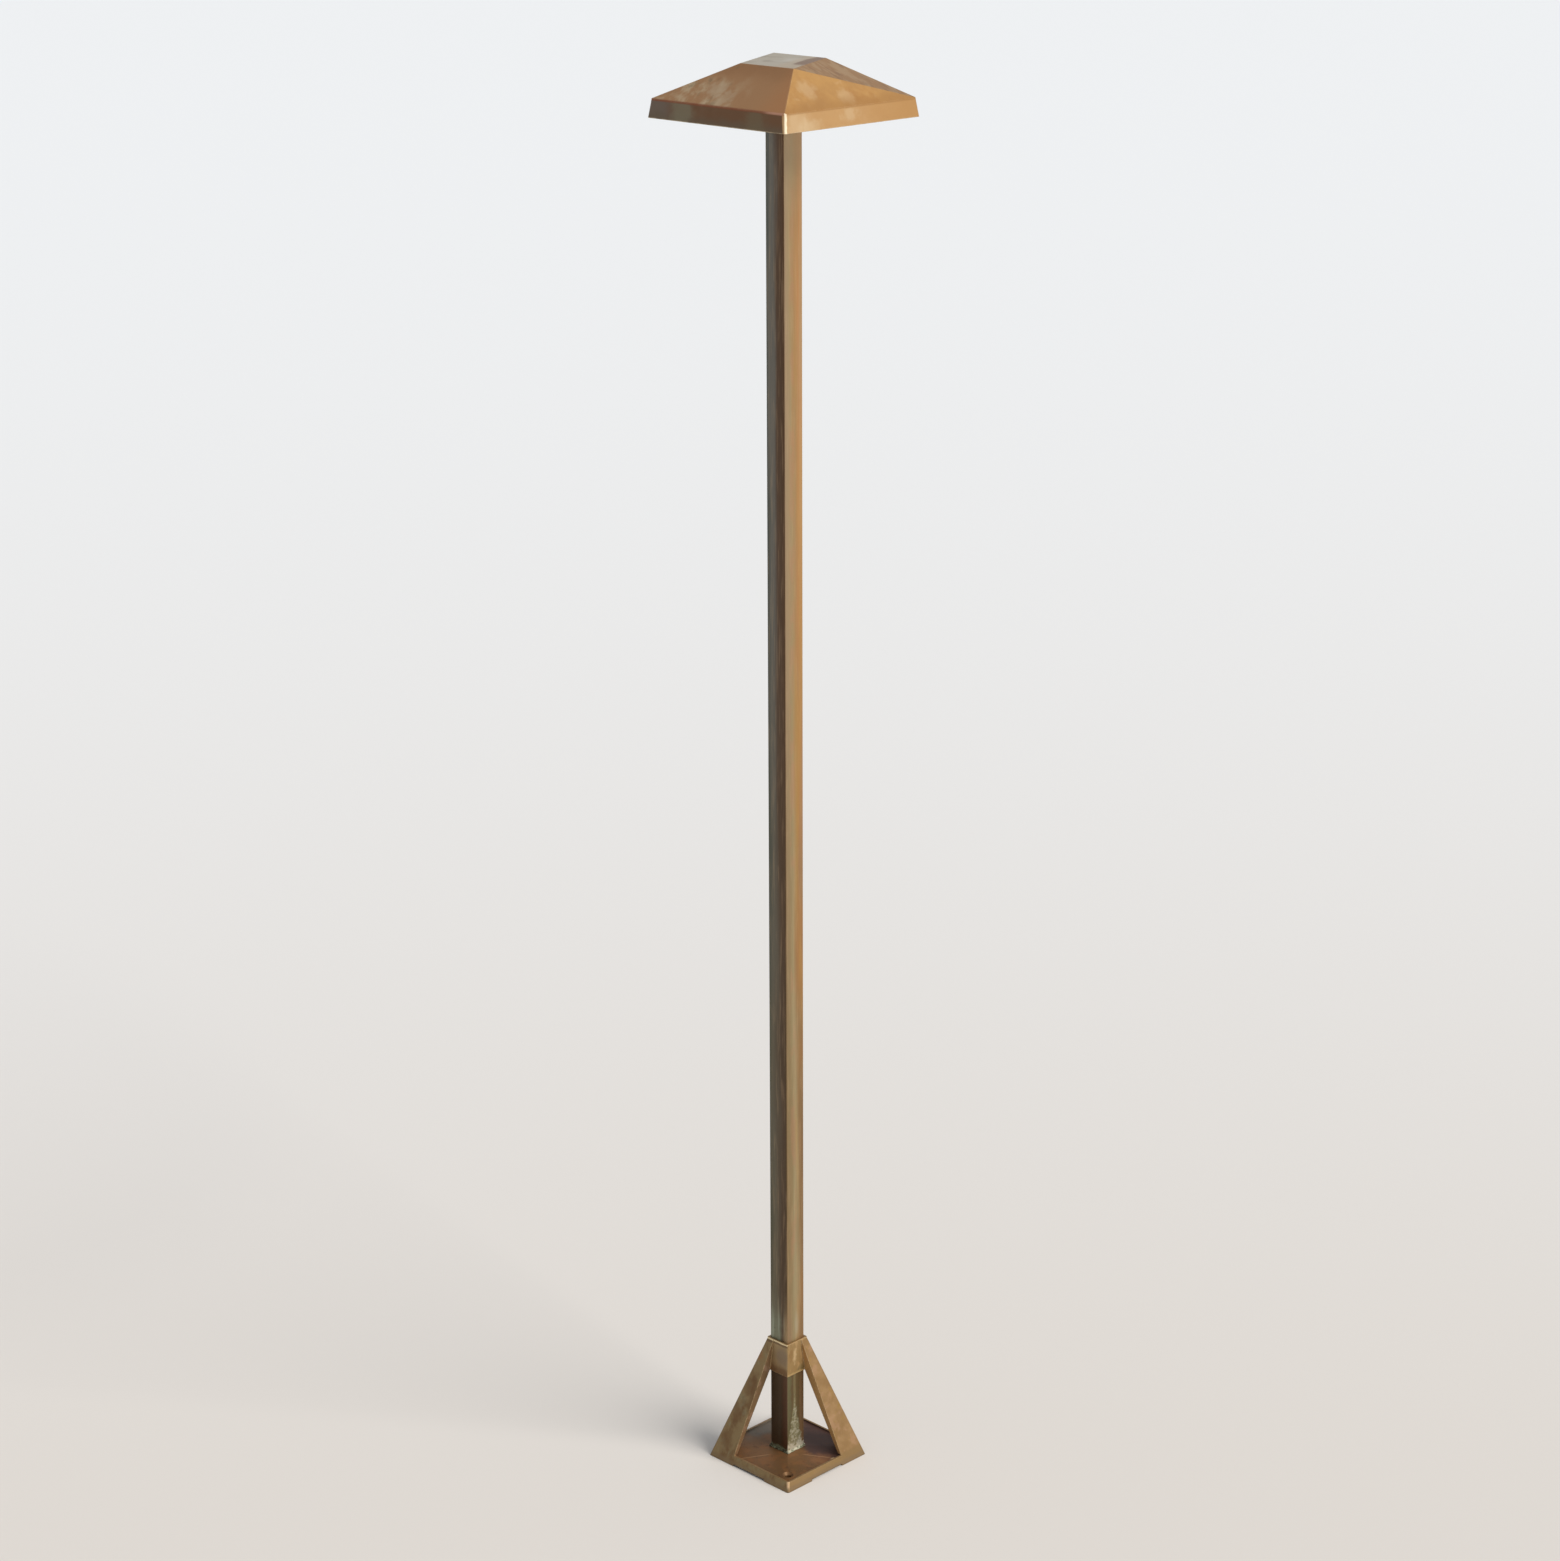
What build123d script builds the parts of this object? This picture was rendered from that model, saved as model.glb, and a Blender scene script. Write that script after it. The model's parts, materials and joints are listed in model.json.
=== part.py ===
from build123d import *
import math
import os

os.makedirs("parts", exist_ok=True)

# Path light in cast and drawn brass: a square plate with two inclined legs and a collar, a square
# tube for a stem, and a low pyramidal hat that holds the lamp. All sizes are in millimetres.
# +Z is up and the origin is on the ground, under the middle of the stem. The legs rise from the
# (-X, -Y) and (+X, +Y) corners, and the fixing holes are in the other two corners.

# Stem: drawn square brass tube
stem_side = 20.0
stem_wall = 1.5
stem_corner = 1.0
stem_seat_z = 3.0

# Base casting: plate, legs and collar
plate_half = 47.4
plate_corner = 2.4
rim_z = 8.0
lip_width = 1.7
floor_edge_z = 6.6
floor_crown_z = 8.2
foot_length = 29.0
foot_relief = 1.4
collar_height = 30.0
collar_top_z = 111.5
collar_wall = 1.75
collar_corner = 1.2
stem_fit = 0.25
leg_wall_foot = 3.2
leg_edge_foot = 19.5
leg_edge_top = 4.5
anchor_offset = 34.0
anchor_hole_r = 2.75
anchor_sink_r = 4.6

# Braze fillet round the foot of the stem
braze_width = 1.3
braze_height = 2.2
braze_sink = 0.4

# Screws
grub_r = 2.0
grub_length = 5.5
grub_key_r = 1.0
grub_key_depth = 2.5
grub_drop = 13.5
thread_gap = 0.05
screw_r = 1.5
screw_head_r = 3.0
screw_head_height = 1.8
screw_slot_width = 0.8
screw_slot_depth = 0.7
screw_hole_gap = 0.2
screw_end_gap = 0.5
soft_gap = 0.1
cut_past = 1.0

# Cable entry and the lead inside the stem
grommet_hole_r = 5.5
grommet_flange_r = 7.5
grommet_flange = 1.2
lead_r = 3.2
core_r = 1.0
core_pitch = 2.8
core_length = 22.0

# Hat casting: skirt, faceted roof, socket for the stem
hat_rim_z = 1131.0
skirt_height = 14.0
eave_half = 71.0
skirt_flare = 2.0
hat_corner = 2.5
pocket_corner = 3.0
skirt_wall = 2.6
roof_rise = 28.0
roof_wall = 2.8
crease_radius = 0.8
top_front = 35.0
top_near = 45.0
top_far = 10.6
socket_wall = 3.2
socket_fit = 0.2
socket_drop = 9.0
socket_corner = 2.0
hat_seat = 29.0
chamber_half = 8.0
chamber_height = 8.0
window_width = 9.0
window_height = 5.0

# Lamp parts under the roof
diffuser_rise = 4.0
diffuser_thick = 3.0
diffuser_gap = 0.6
diffuser_hole_gap = 0.3
gasket_thick = 1.5
ledge_width = 5.0
spreader_half = 49.0
spreader_thick = 2.0
spreader_rise = 16.0
spreader_gap = 1.0
board_half = 46.0
board_thick = 1.6
chip_side = 3.5
chip_thick = 0.8
chip_rows = 6
chip_inset = 6.0
chip_span = 48.0
board_screw_offset = 38.0
board_boss_r = 4.0
shoulder_width = 2.0
board_screw_length = 9.0
post_inset = 9.6
post_r = 4.2
post_screw_length = 12.0
driver_x = 24.0
driver_y = 36.0
driver_height = 11.0
driver_clear = 3.0
driver_shift_y = -9.0
driver_corner = 1.5
slot_clear = 4.0
flat_width = 5.0
flat_thick = 1.4
slot_margin = 0.8
board_lead_rise = 5.0
lead_bend = 1.5

# Plug and socket between the stem and the hat
plug_x = 10.0
plug_y = 7.0
plug_height = 3.0
plug_gap = 0.3
blade_width = 2.8
blade_thick = 0.8
blade_length = 7.0
blade_pitch = 4.6
contact_wall = 0.4
contact_fit = 0.1
contact_sink = 0.5
contact_floor = 1.0
contact_bed = 1.5
slot_floor = 2.0
head_plug_height = 18.0
head_plug_gap = 0.1
socket_height = 14.0

# Thumb screws that clamp the hat on the stem
stud_r = 2.0
stud_gap = 0.06
stud_tip_gap = 0.02
stud_drop = 5.0
knob_r = 4.8
knob_length = 7.0
knob_clear = 2.4
knob_cap = 1.5
knob_groove = 0.45
knob_grooves = 16

# Derived places
stem_half = stem_side / 2
bore_half = stem_half - stem_wall
bore_corner = stem_corner / 2
collar_half = stem_half + stem_fit + collar_wall
collar_low_z = collar_top_z - collar_height
rim_half = eave_half + skirt_flare
lip_half = plate_half - rim_z * (plate_half - collar_half) / collar_top_z - lip_width
lip_corner = plate_corner - lip_width / 2
crown_half = stem_half + stem_fit
eave_z = hat_rim_z + skirt_height
roof_top_z = eave_z + roof_rise
stem_top_z = hat_rim_z + hat_seat
ledge_z = hat_rim_z + diffuser_rise + diffuser_thick + gasket_thick
spreader_z = hat_rim_z + spreader_rise
board_z = spreader_z - board_thick
socket_half = stem_half + socket_fit + socket_wall
socket_low_z = hat_rim_z - socket_drop
chamber_top_z = stem_top_z + chamber_height
diffuser_z = hat_rim_z + diffuser_rise
pocket_half = rim_half - skirt_wall
ledge_half = pocket_half - ledge_width
post_offset = pocket_half - post_inset
plug_z = stem_top_z + plug_gap
stud_z = socket_low_z + stud_drop
knob_near = socket_half + knob_clear
knob_far = knob_near + knob_length
stud_far = knob_far - knob_cap
grub_z = collar_top_z - grub_drop
socket_floor_z = stem_top_z - socket_height
head_plug_half = bore_half - head_plug_gap
driver_mid_x = socket_half + driver_clear + driver_x / 2
driver_low_z = spreader_z + spreader_thick
slot_y = driver_shift_y - driver_y / 2 - slot_clear

# Level screws point away from the stem in these directions, in degrees from +X: both on hidden sides
grub_directions = (90, 180)
stud_directions = (90, 180)


def prism(half_x, half_y, low, high, radius=0.0):
    """An upright block centred on the stem's axis, with rounded upright edges."""
    if radius > 0:
        outline = RectangleRounded(2 * half_x, 2 * half_y, radius)
    else:
        outline = Rectangle(2 * half_x, 2 * half_y)
    return extrude(Plane.XY.offset(low) * outline, high - low)


def frustum(half_low, low, half_high, high, radius=0.0):
    """A square block whose sides slope from one half width to another, with rounded hips."""
    lean = math.degrees(math.atan2(half_low - half_high, high - low))
    block = extrude(Plane.XY.offset(low) * Rectangle(2 * half_low, 2 * half_low), high - low, taper=lean)
    if radius > 0:
        block = fillet(block.edges().filter_by(Plane.XY, reverse=True), radius)
    return block


def rod(x, y, low, high, radius):
    """An upright cylinder between two heights."""
    return Pos(x, y, (low + high) / 2) * Cylinder(radius, high - low)


def corners(offset):
    """The four points of a square round the stem's axis."""
    return [(x, y) for x in (-offset, offset) for y in (-offset, offset)]


def board_screw_places():
    """Two opposite corners of the board, where screws hold it."""
    return [(-board_screw_offset, -board_screw_offset), (board_screw_offset, board_screw_offset)]


def pyramid_half(z):
    """Half width of the base's sloping sides at a height."""
    return plate_half - z * (plate_half - collar_half) / collar_top_z


def leg_edge(z):
    """Distance of a leg's inner edge from the stem's axis at a height."""
    return leg_edge_foot + (z - rim_z) * (leg_edge_top - leg_edge_foot) / (collar_top_z - rim_z)


def plate():
    """The square plate: sloping sides, a thin lip, and a floor crowned to shed water."""
    body = frustum(plate_half, 0, pyramid_half(rim_z), rim_z, plate_corner)
    body -= prism(lip_half, lip_half, floor_edge_z, rim_z + cut_past, lip_corner)
    crown = frustum(lip_half, floor_edge_z, crown_half, floor_crown_z)
    body += crown & prism(lip_half, lip_half, floor_edge_z, floor_crown_z, lip_corner)
    gap_half = plate_half - foot_length
    outside = plate_half + cut_past
    body -= prism(gap_half, outside, -cut_past, foot_relief)
    body -= prism(outside, gap_half, -cut_past, foot_relief)
    return body


def leg_region(sign):
    """The corner of the pyramid that one leg takes up, bounded by its leaning inner edges."""
    reach = plate_half + cut_past
    sections = []
    for z in (0, collar_top_z):
        side = reach - leg_edge(z)
        middle = sign * (reach - side / 2)
        sections.append(Plane.XY.offset(z) * Pos(middle, middle) * Rectangle(side, side))
    return loft(sections, ruled=True)


def make_leg(sign):
    """One angle-shaped leg on the pyramid's hip, thicker upwards until it meets the collar's foot."""
    outside = frustum(plate_half, 0, collar_half, collar_top_z, plate_corner)
    low = rim_z - leg_wall_foot
    inside = frustum(pyramid_half(low) - leg_wall_foot, low, collar_half, collar_low_z)
    return (outside - inside) & leg_region(sign)


def make_base_casting():
    """Plate, legs and collar, cast in one piece, with the stem's pocket and the bored holes."""
    body = plate() + make_leg(-1) + make_leg(1)
    body += prism(collar_half, collar_half, collar_low_z, collar_top_z, collar_corner)
    pocket_half_width = stem_half + stem_fit
    above = collar_top_z + cut_past
    body -= prism(pocket_half_width, pocket_half_width, stem_seat_z, above, collar_corner)
    body -= rod(0, 0, -cut_past, stem_seat_z + cut_past, grommet_hole_r)
    for sign in (-1, 1):
        x = sign * anchor_offset
        body -= rod(x, -x, -cut_past, rim_z, anchor_hole_r)
        floor_z = floor_edge_z + (floor_crown_z - floor_edge_z) * (lip_half - anchor_offset) / lip_half
        sink_depth = anchor_sink_r - anchor_hole_r
        sink = Cone(anchor_hole_r, anchor_sink_r, sink_depth)
        body -= Pos(x, -x, floor_z - sink_depth / 2) * sink
        body -= rod(x, -x, floor_z, rim_z, anchor_sink_r)
    for direction in grub_directions:
        body -= cross_rod(direction, grub_z, stem_half, collar_half + cut_past, grub_r + thread_gap)
    return body


def cross_rod(direction, z, near, far, radius):
    """A level cylinder pointing away from the stem's axis, at an angle in degrees from +X."""
    length = far - near
    level = Rot(0, 90, 0) * Cylinder(radius, length)
    return Rot(0, 0, direction) * Pos(near + length / 2, 0, z) * level


def make_stem_tube():
    """The square tube that stands in the base's pocket and carries the hat."""
    tube = prism(stem_half, stem_half, stem_seat_z, stem_top_z, stem_corner)
    return tube - prism(bore_half, bore_half, stem_seat_z - cut_past, stem_top_z + cut_past, bore_corner)


def make_foot_braze(base):
    """The fillet of brazing metal between the stem and the plate's floor."""
    low = floor_crown_z - braze_sink
    high = floor_crown_z + braze_height
    bead = frustum(stem_half + braze_width, low, stem_half + stem_fit, high)
    bead -= prism(stem_half, stem_half, low - cut_past, high + cut_past, stem_corner)
    return bead - base


def make_collar_grub_screws():
    """Two socket-headed grub screws in the collar's hidden sides, bearing on the stem."""
    screws = []
    for direction in grub_directions:
        screw = cross_rod(direction, grub_z, stem_half, stem_half + grub_length, grub_r)
        outer = stem_half + grub_length
        key = Rot(0, 90, 0) * extrude(RegularPolygon(grub_key_r, 6), grub_key_depth + cut_past)
        screw -= Rot(0, 0, direction) * Pos(outer - grub_key_depth, 0, grub_z) * key
        screws.append(screw)
    return Compound(screws)


def make_cable_grommet():
    """The rubber grommet in the plate's cable hole, with a flange on each side."""
    low = foot_relief - grommet_flange
    high = stem_seat_z + grommet_flange
    body = rod(0, 0, low, high, grommet_hole_r - soft_gap)
    body += rod(0, 0, low, foot_relief, grommet_flange_r)
    body += rod(0, 0, stem_seat_z, high, grommet_flange_r)
    return body - rod(0, 0, low - cut_past, high + cut_past, lead_r + soft_gap)


def make_supply_lead():
    """The sheathed two-core lead, held in the stem from the grommet to the head."""
    return rod(0, 0, foot_relief - grommet_flange, socket_floor_z - core_length, lead_r)


def make_supply_cores():
    """The lead's two cores, from the end of the sheath to the socket."""
    cores = []
    for sign in (-1, 1):
        cores.append(rod(sign * core_pitch / 2, 0, socket_floor_z - core_length, socket_floor_z, core_r))
    return Compound(cores)


def make_stem_head_plug():
    """The moulded plug that closes the stem's head and holds the two-pin socket."""
    low = stem_top_z - head_plug_height
    body = prism(head_plug_half, head_plug_half, low, stem_top_z, bore_corner)
    body -= prism(plug_x / 2 + plug_gap, plug_y / 2 + plug_gap, socket_floor_z, stem_top_z + cut_past)
    return body - rod(0, 0, low - cut_past, socket_floor_z + cut_past, lead_r)


def blades(low, high, margin):
    """Two upright flat blades side by side, each widened on every side by a margin."""
    half_x = blade_thick / 2 + margin
    half_y = blade_width / 2 + margin
    return [Pos(sign * blade_pitch / 2, 0, 0) * prism(half_x, half_y, low, high) for sign in (-1, 1)]


def make_lead_socket():
    """The fixed half of the connector: a block with two slots for the contacts."""
    body = prism(plug_x / 2, plug_y / 2, socket_floor_z, stem_top_z)
    low = stem_top_z - blade_length - slot_floor
    for slot in blades(low, stem_top_z + cut_past, contact_wall + 2 * contact_fit):
        body -= slot
    return body


def make_socket_contacts():
    """The two folded brass sleeves in the socket that take the plug's blades."""
    low = stem_top_z - blade_length - contact_bed
    outsides = blades(low, stem_top_z - contact_sink, contact_wall + contact_fit)
    insides = blades(low + contact_floor, stem_top_z, contact_fit)
    return Compound([outside - inside for outside, inside in zip(outsides, insides)])


def faceted_roof(half, low, top_points, high):
    """A low pyramid from a square eave to a skewed flat top.

    The front and back sides are flat. The other two are folded along a crease that runs from a
    corner of the top to the far corner of the eave.
    """
    left, front, right, back = [(-half, -half), (half, -half), (half, half), (-half, half)]
    near, far_right, far, far_left = top_points
    eave = {"left": left, "front": front, "right": right, "back": back}
    top = {"near": near, "far_right": far_right, "far": far, "far_left": far_left}
    point = {name: (*xy, low) for name, xy in eave.items()}
    point.update({name: (*xy, high) for name, xy in top.items()})
    outlines = [
        ("left", "back", "right", "front"),
        ("near", "far_right", "far", "far_left"),
        ("left", "front", "near", "far_left"),
        ("front", "right", "near"),
        ("near", "right", "far_right"),
        ("right", "back", "far", "far_right"),
        ("back", "left", "far"),
        ("far", "left", "far_left"),
    ]
    faces = [Face(Wire.make_polygon([point[name] for name in outline])) for outline in outlines]
    return Solid(Shell(faces))


def top_corners(share):
    """The four corners of the roof's flat top, drawn in by a share."""
    near = (top_near * share, -top_front * share)
    far_right = (top_far * share, top_front * share)
    return [near, far_right, (-near[0], -near[1]), (-far_right[0], -far_right[1])]


def hat_outside():
    """The hat as a solid block: flared skirt and faceted roof, with softened cast edges."""
    rim = Plane.XY.offset(hat_rim_z) * RectangleRounded(2 * rim_half, 2 * rim_half, hat_corner)
    top_of_skirt = Plane.XY.offset(eave_z) * RectangleRounded(2 * eave_half, 2 * eave_half, hat_corner)
    skirt = loft([rim, top_of_skirt], ruled=True)
    roof = faceted_roof(eave_half, eave_z, top_corners(1), roof_top_z)
    roof &= prism(eave_half, eave_half, eave_z, roof_top_z, hat_corner)
    block = skirt + roof
    creases = [edge for edge in block.edges() if max((edge @ 0).Z, (edge @ 1).Z) > roof_top_z - 1]
    eave = [edge for edge in block.edges() if max(abs((edge @ end).Z - eave_z) for end in (0, 1)) < 0.01]
    return fillet(creases + eave, crease_radius)


def hat_cavity():
    """The space under the roof: the diffuser's pocket, a ledge above it and the faceted inside."""
    pocket = prism(pocket_half, pocket_half, hat_rim_z - cut_past, ledge_z, pocket_corner)
    slope = roof_rise / (eave_half - top_front)
    drop = roof_wall * math.hypot(1, slope)
    inner_low = eave_z - drop + (eave_half - ledge_half) * slope
    upper = prism(ledge_half, ledge_half, ledge_z - cut_past, inner_low)
    inner_top = roof_top_z - roof_wall
    inner_front = eave_half - (inner_top - eave_z + drop) / slope
    roof = faceted_roof(ledge_half, inner_low, top_corners(inner_front / top_front), inner_top)
    return pocket + upper + roof


def make_hat_casting():
    """The hat: skirt and roof, the socket that fits over the stem, bosses and posts."""
    outside = hat_outside()
    body = outside - hat_cavity()
    fittings = prism(socket_half, socket_half, socket_low_z, roof_top_z, socket_corner)
    shoulder_half = socket_half + shoulder_width
    fittings += prism(shoulder_half, shoulder_half, driver_low_z, roof_top_z, socket_corner)
    for x, y in board_screw_places():
        fittings += rod(x, y, driver_low_z, roof_top_z, board_boss_r)
    for x, y in corners(post_offset):
        fittings += rod(x, y, diffuser_z + diffuser_thick, roof_top_z, post_r)
    below = prism(rim_half, rim_half, socket_low_z - cut_past, eave_z)
    body += fittings & (outside + below)
    fit_half = stem_half + socket_fit
    body -= prism(fit_half, fit_half, socket_low_z - cut_past, stem_top_z, stem_corner)
    body -= prism(chamber_half, chamber_half, stem_top_z - cut_past, chamber_top_z)
    window = Pos(socket_half, 0, chamber_top_z - window_height / 2)
    body -= window * Box(2 * (socket_half - chamber_half) + cut_past, window_width, window_height)
    for x, y in board_screw_places():
        top = board_z + board_screw_length + screw_end_gap
        body -= rod(x, y, board_z, top, screw_r + thread_gap)
    for x, y in corners(post_offset):
        top = diffuser_z + post_screw_length + screw_end_gap
        body -= rod(x, y, diffuser_z, top, screw_r + thread_gap)
    for direction in stud_directions:
        body -= cross_rod(direction, stud_z, stem_half, socket_half + cut_past, stud_r + stud_gap)
    return body


def make_heat_spreader():
    """The aluminium plate that carries the board and the driver, under the socket's shoulder."""
    high = spreader_z + spreader_thick
    plate_body = prism(spreader_half, spreader_half, spreader_z, high)
    opening = socket_half + spreader_gap
    plate_body -= prism(opening, opening, spreader_z - cut_past, high + cut_past, socket_corner)
    for x, y in board_screw_places():
        plate_body -= rod(x, y, spreader_z - cut_past, high + cut_past, screw_r + screw_hole_gap)
    return plate_body - lead_slot(spreader_z - cut_past, high + cut_past)


def lead_slot(low, high):
    """The slot beside the driver through which its lead reaches the board."""
    length = flat_width + 2 * slot_margin
    width = flat_thick + 2 * slot_margin
    return Pos(driver_mid_x, slot_y, (low + high) / 2) * Box(length, width, high - low)


def make_led_board():
    """The square circuit board under the spreader, with a clear middle for the socket."""
    board = prism(board_half, board_half, board_z, spreader_z)
    opening = socket_half + spreader_gap
    board -= prism(opening, opening, board_z - cut_past, spreader_z + cut_past, socket_corner)
    for x, y in board_screw_places():
        board -= rod(x, y, board_z - cut_past, spreader_z + cut_past, screw_r + screw_hole_gap)
    return board - lead_slot(board_z - cut_past, spreader_z + cut_past)


def make_led_chips():
    """A ring of light-emitting chips near the board's edge, evenly spaced on each side."""
    edge = board_half - chip_inset
    pitch = chip_span / (chip_rows - 1)
    chips = []
    for turn in range(4):
        for step in range(chip_rows):
            along = -chip_span / 2 + step * pitch
            place = Rot(0, 0, 90 * turn) * Pos(along, edge, board_z - chip_thick / 2)
            chips.append(place * Box(chip_side, chip_side, chip_thick))
    return Compound(chips)


def pan_screw(x, y, face_z, length):
    """A slotted pan-head screw driven upwards into a boss, with its head below face_z."""
    screw = rod(x, y, face_z, face_z + length, screw_r)
    head = rod(x, y, face_z - screw_head_height, face_z, screw_head_r)
    slot_z = face_z - screw_head_height + screw_slot_depth / 2
    head -= Pos(x, y, slot_z) * Box(2 * screw_head_r + cut_past, screw_slot_width, screw_slot_depth)
    return screw + head


def make_board_screws():
    """Two screws that hold the board and the spreader to the roof's bosses."""
    return Compound([pan_screw(x, y, board_z, board_screw_length) for x, y in board_screw_places()])


def make_led_driver():
    """The potted driver on top of the spreader, beside the socket."""
    block = Box(driver_x, driver_y, driver_height)
    block = fillet(block.edges().filter_by(Axis.Z), driver_corner)
    return Pos(driver_mid_x, driver_shift_y, driver_low_z + driver_height / 2) * block


def flat_lead(points, bend):
    """A flat twin lead laid along level and upright runs with round bends, in the X-Z plane."""
    side = trace(FilletPolyline(*points, radius=bend), flat_thick)
    return Rot(90, 0, 0) * extrude(side, flat_width / 2, both=True)


def make_board_leads():
    """The flat lead from the driver's end down through the slot to the board."""
    end_y = driver_shift_y - driver_y / 2
    level = driver_low_z + board_lead_rise
    points = [(end_y, level), (slot_y, level), (slot_y, board_z)]
    return Pos(driver_mid_x, 0, 0) * Rot(0, 0, 90) * flat_lead(points, lead_bend)


def make_hat_plug():
    """The loose half of the connector, which leaves the stem with the hat."""
    return prism(plug_x / 2, plug_y / 2, plug_z, plug_z + plug_height)


def make_plug_blades():
    """The plug's two blades, in the contacts of the stem's socket."""
    return Compound(blades(plug_z - blade_length, plug_z, 0))


def make_plug_leads():
    """The flat lead from the plug, out through the socket's window to the driver."""
    level = chamber_top_z - window_height / 2
    end_x = driver_mid_x
    points = [(0, plug_z + plug_height), (0, level), (end_x, level), (end_x, driver_low_z + driver_height)]
    return flat_lead(points, lead_bend)


def make_diffuser():
    """The frosted sheet that closes the hat, with a square hole for the socket."""
    outer = pocket_half - diffuser_gap
    inner = socket_half + diffuser_gap
    sheet = prism(outer, outer, diffuser_z, diffuser_z + diffuser_thick, pocket_corner)
    sheet -= prism(inner, inner, diffuser_z - cut_past, ledge_z, socket_corner)
    for x, y in corners(post_offset):
        sheet -= rod(x, y, diffuser_z - cut_past, ledge_z, screw_r + diffuser_hole_gap)
    return sheet


def make_skirt_gasket():
    """The flat silicone gasket between the diffuser and the ledge in the skirt."""
    low = diffuser_z + diffuser_thick
    outer = pocket_half - diffuser_gap
    ring = prism(outer, outer, low, ledge_z, pocket_corner)
    return ring - prism(ledge_half, ledge_half, low - cut_past, ledge_z + cut_past, pocket_corner)


def make_socket_gasket():
    """The square silicone ring that seals the diffuser's hole against the socket."""
    low = diffuser_z + diffuser_thick
    outer = socket_half + ledge_width
    ring = prism(outer, outer, low, ledge_z, socket_corner)
    return ring - prism(socket_half, socket_half, low - cut_past, ledge_z + cut_past, socket_corner)


def make_diffuser_screws():
    """Four screws that hold the diffuser against the roof's posts."""
    return Compound([pan_screw(x, y, diffuser_z, post_screw_length) for x, y in corners(post_offset)])


def make_thumb_stud(direction):
    """A threaded stud through the hat's socket, whose tip clamps the stem."""
    return cross_rod(direction, stud_z, stem_half + stud_tip_gap, stud_far, stud_r)


def make_thumb_knob(direction):
    """The knurled knob on a stud: a drum with vee grooves and a blind bore."""
    rim = []
    for step in range(knob_grooves):
        for radius, share in ((knob_r, 0.0), (knob_r, 0.5), (knob_r - knob_groove, 0.75)):
            angle = 2 * math.pi * (step + share) / knob_grooves
            rim.append((radius * math.cos(angle), radius * math.sin(angle)))
    drum = extrude(Polygon(*rim, align=None), knob_length / 2, both=True)
    bore_depth = stud_far + stud_gap - knob_near
    drum -= Pos(0, 0, (bore_depth - knob_length) / 2) * Cylinder(stud_r + stud_gap, bore_depth)
    place = Rot(0, 0, direction) * Pos((knob_near + knob_far) / 2, 0, stud_z) * Rot(0, 90, 0)
    return place * drum


def main():
    base = make_base_casting()
    parts = {
        "base_casting": base,
        "stem_tube": make_stem_tube(),
        "foot_braze": make_foot_braze(base),
        "collar_grub_screws": make_collar_grub_screws(),
        "cable_grommet": make_cable_grommet(),
        "supply_lead": make_supply_lead(),
        "supply_cores": make_supply_cores(),
        "stem_head_plug": make_stem_head_plug(),
        "lead_socket": make_lead_socket(),
        "socket_contacts": make_socket_contacts(),
        "hat_casting": make_hat_casting(),
        "heat_spreader": make_heat_spreader(),
        "led_board": make_led_board(),
        "led_chips": make_led_chips(),
        "board_screws": make_board_screws(),
        "led_driver": make_led_driver(),
        "board_leads": make_board_leads(),
        "hat_plug": make_hat_plug(),
        "plug_blades": make_plug_blades(),
        "plug_leads": make_plug_leads(),
        "diffuser": make_diffuser(),
        "skirt_gasket": make_skirt_gasket(),
        "socket_gasket": make_socket_gasket(),
        "diffuser_screws": make_diffuser_screws(),
    }
    for side, direction in zip(("back", "left"), stud_directions):
        parts["thumb_stud_" + side] = make_thumb_stud(direction)
        parts["thumb_knob_" + side] = make_thumb_knob(direction)
    for name, shape in parts.items():
        export_step(shape, "parts/" + name + ".step")
        print(name, "volume", round(shape.volume), "mm3")


main()
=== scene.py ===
# %% [markdown]
# # A brass path light
# This lesson dresses a garden path light that is already modelled as solids: a square plate with two
# leaning legs and a collar, a tall square stem, and a low pyramidal hat. The solids give every true
# size. Blender adds what the eye reads as real: aged brass, worn edges, knurls, threads and salts.

# %% Load the solids
import json
import math

import bpy
from mathutils import Matrix, Vector


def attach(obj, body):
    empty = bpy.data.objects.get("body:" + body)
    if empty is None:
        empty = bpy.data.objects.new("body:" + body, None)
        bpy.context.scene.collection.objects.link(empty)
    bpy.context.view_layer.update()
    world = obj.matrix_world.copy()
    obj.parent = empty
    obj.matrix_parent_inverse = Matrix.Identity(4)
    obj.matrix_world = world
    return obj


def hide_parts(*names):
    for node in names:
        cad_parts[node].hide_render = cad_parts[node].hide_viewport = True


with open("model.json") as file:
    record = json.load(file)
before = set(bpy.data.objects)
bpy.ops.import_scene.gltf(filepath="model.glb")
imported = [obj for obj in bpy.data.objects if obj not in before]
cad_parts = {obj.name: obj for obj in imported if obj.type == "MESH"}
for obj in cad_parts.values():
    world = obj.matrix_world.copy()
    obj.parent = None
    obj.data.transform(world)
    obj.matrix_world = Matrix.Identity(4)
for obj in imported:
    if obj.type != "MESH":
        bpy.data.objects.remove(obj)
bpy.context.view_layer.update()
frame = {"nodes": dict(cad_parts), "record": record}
nodes = frame["nodes"]

# %% [markdown]
# The camera comes first, because everything is judged through it. It stands at a person's height,
# about 2.6 m from the stem and square to one corner of the plate, with a moderately long lens, and
# looks down by 18 degrees. A small roll comes from the way the picture was held. It could be placed
# by eye, but these values come from fitting the corners of the plate, the stem and the hat, which
# keeps every edge within a few pixels.

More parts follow.
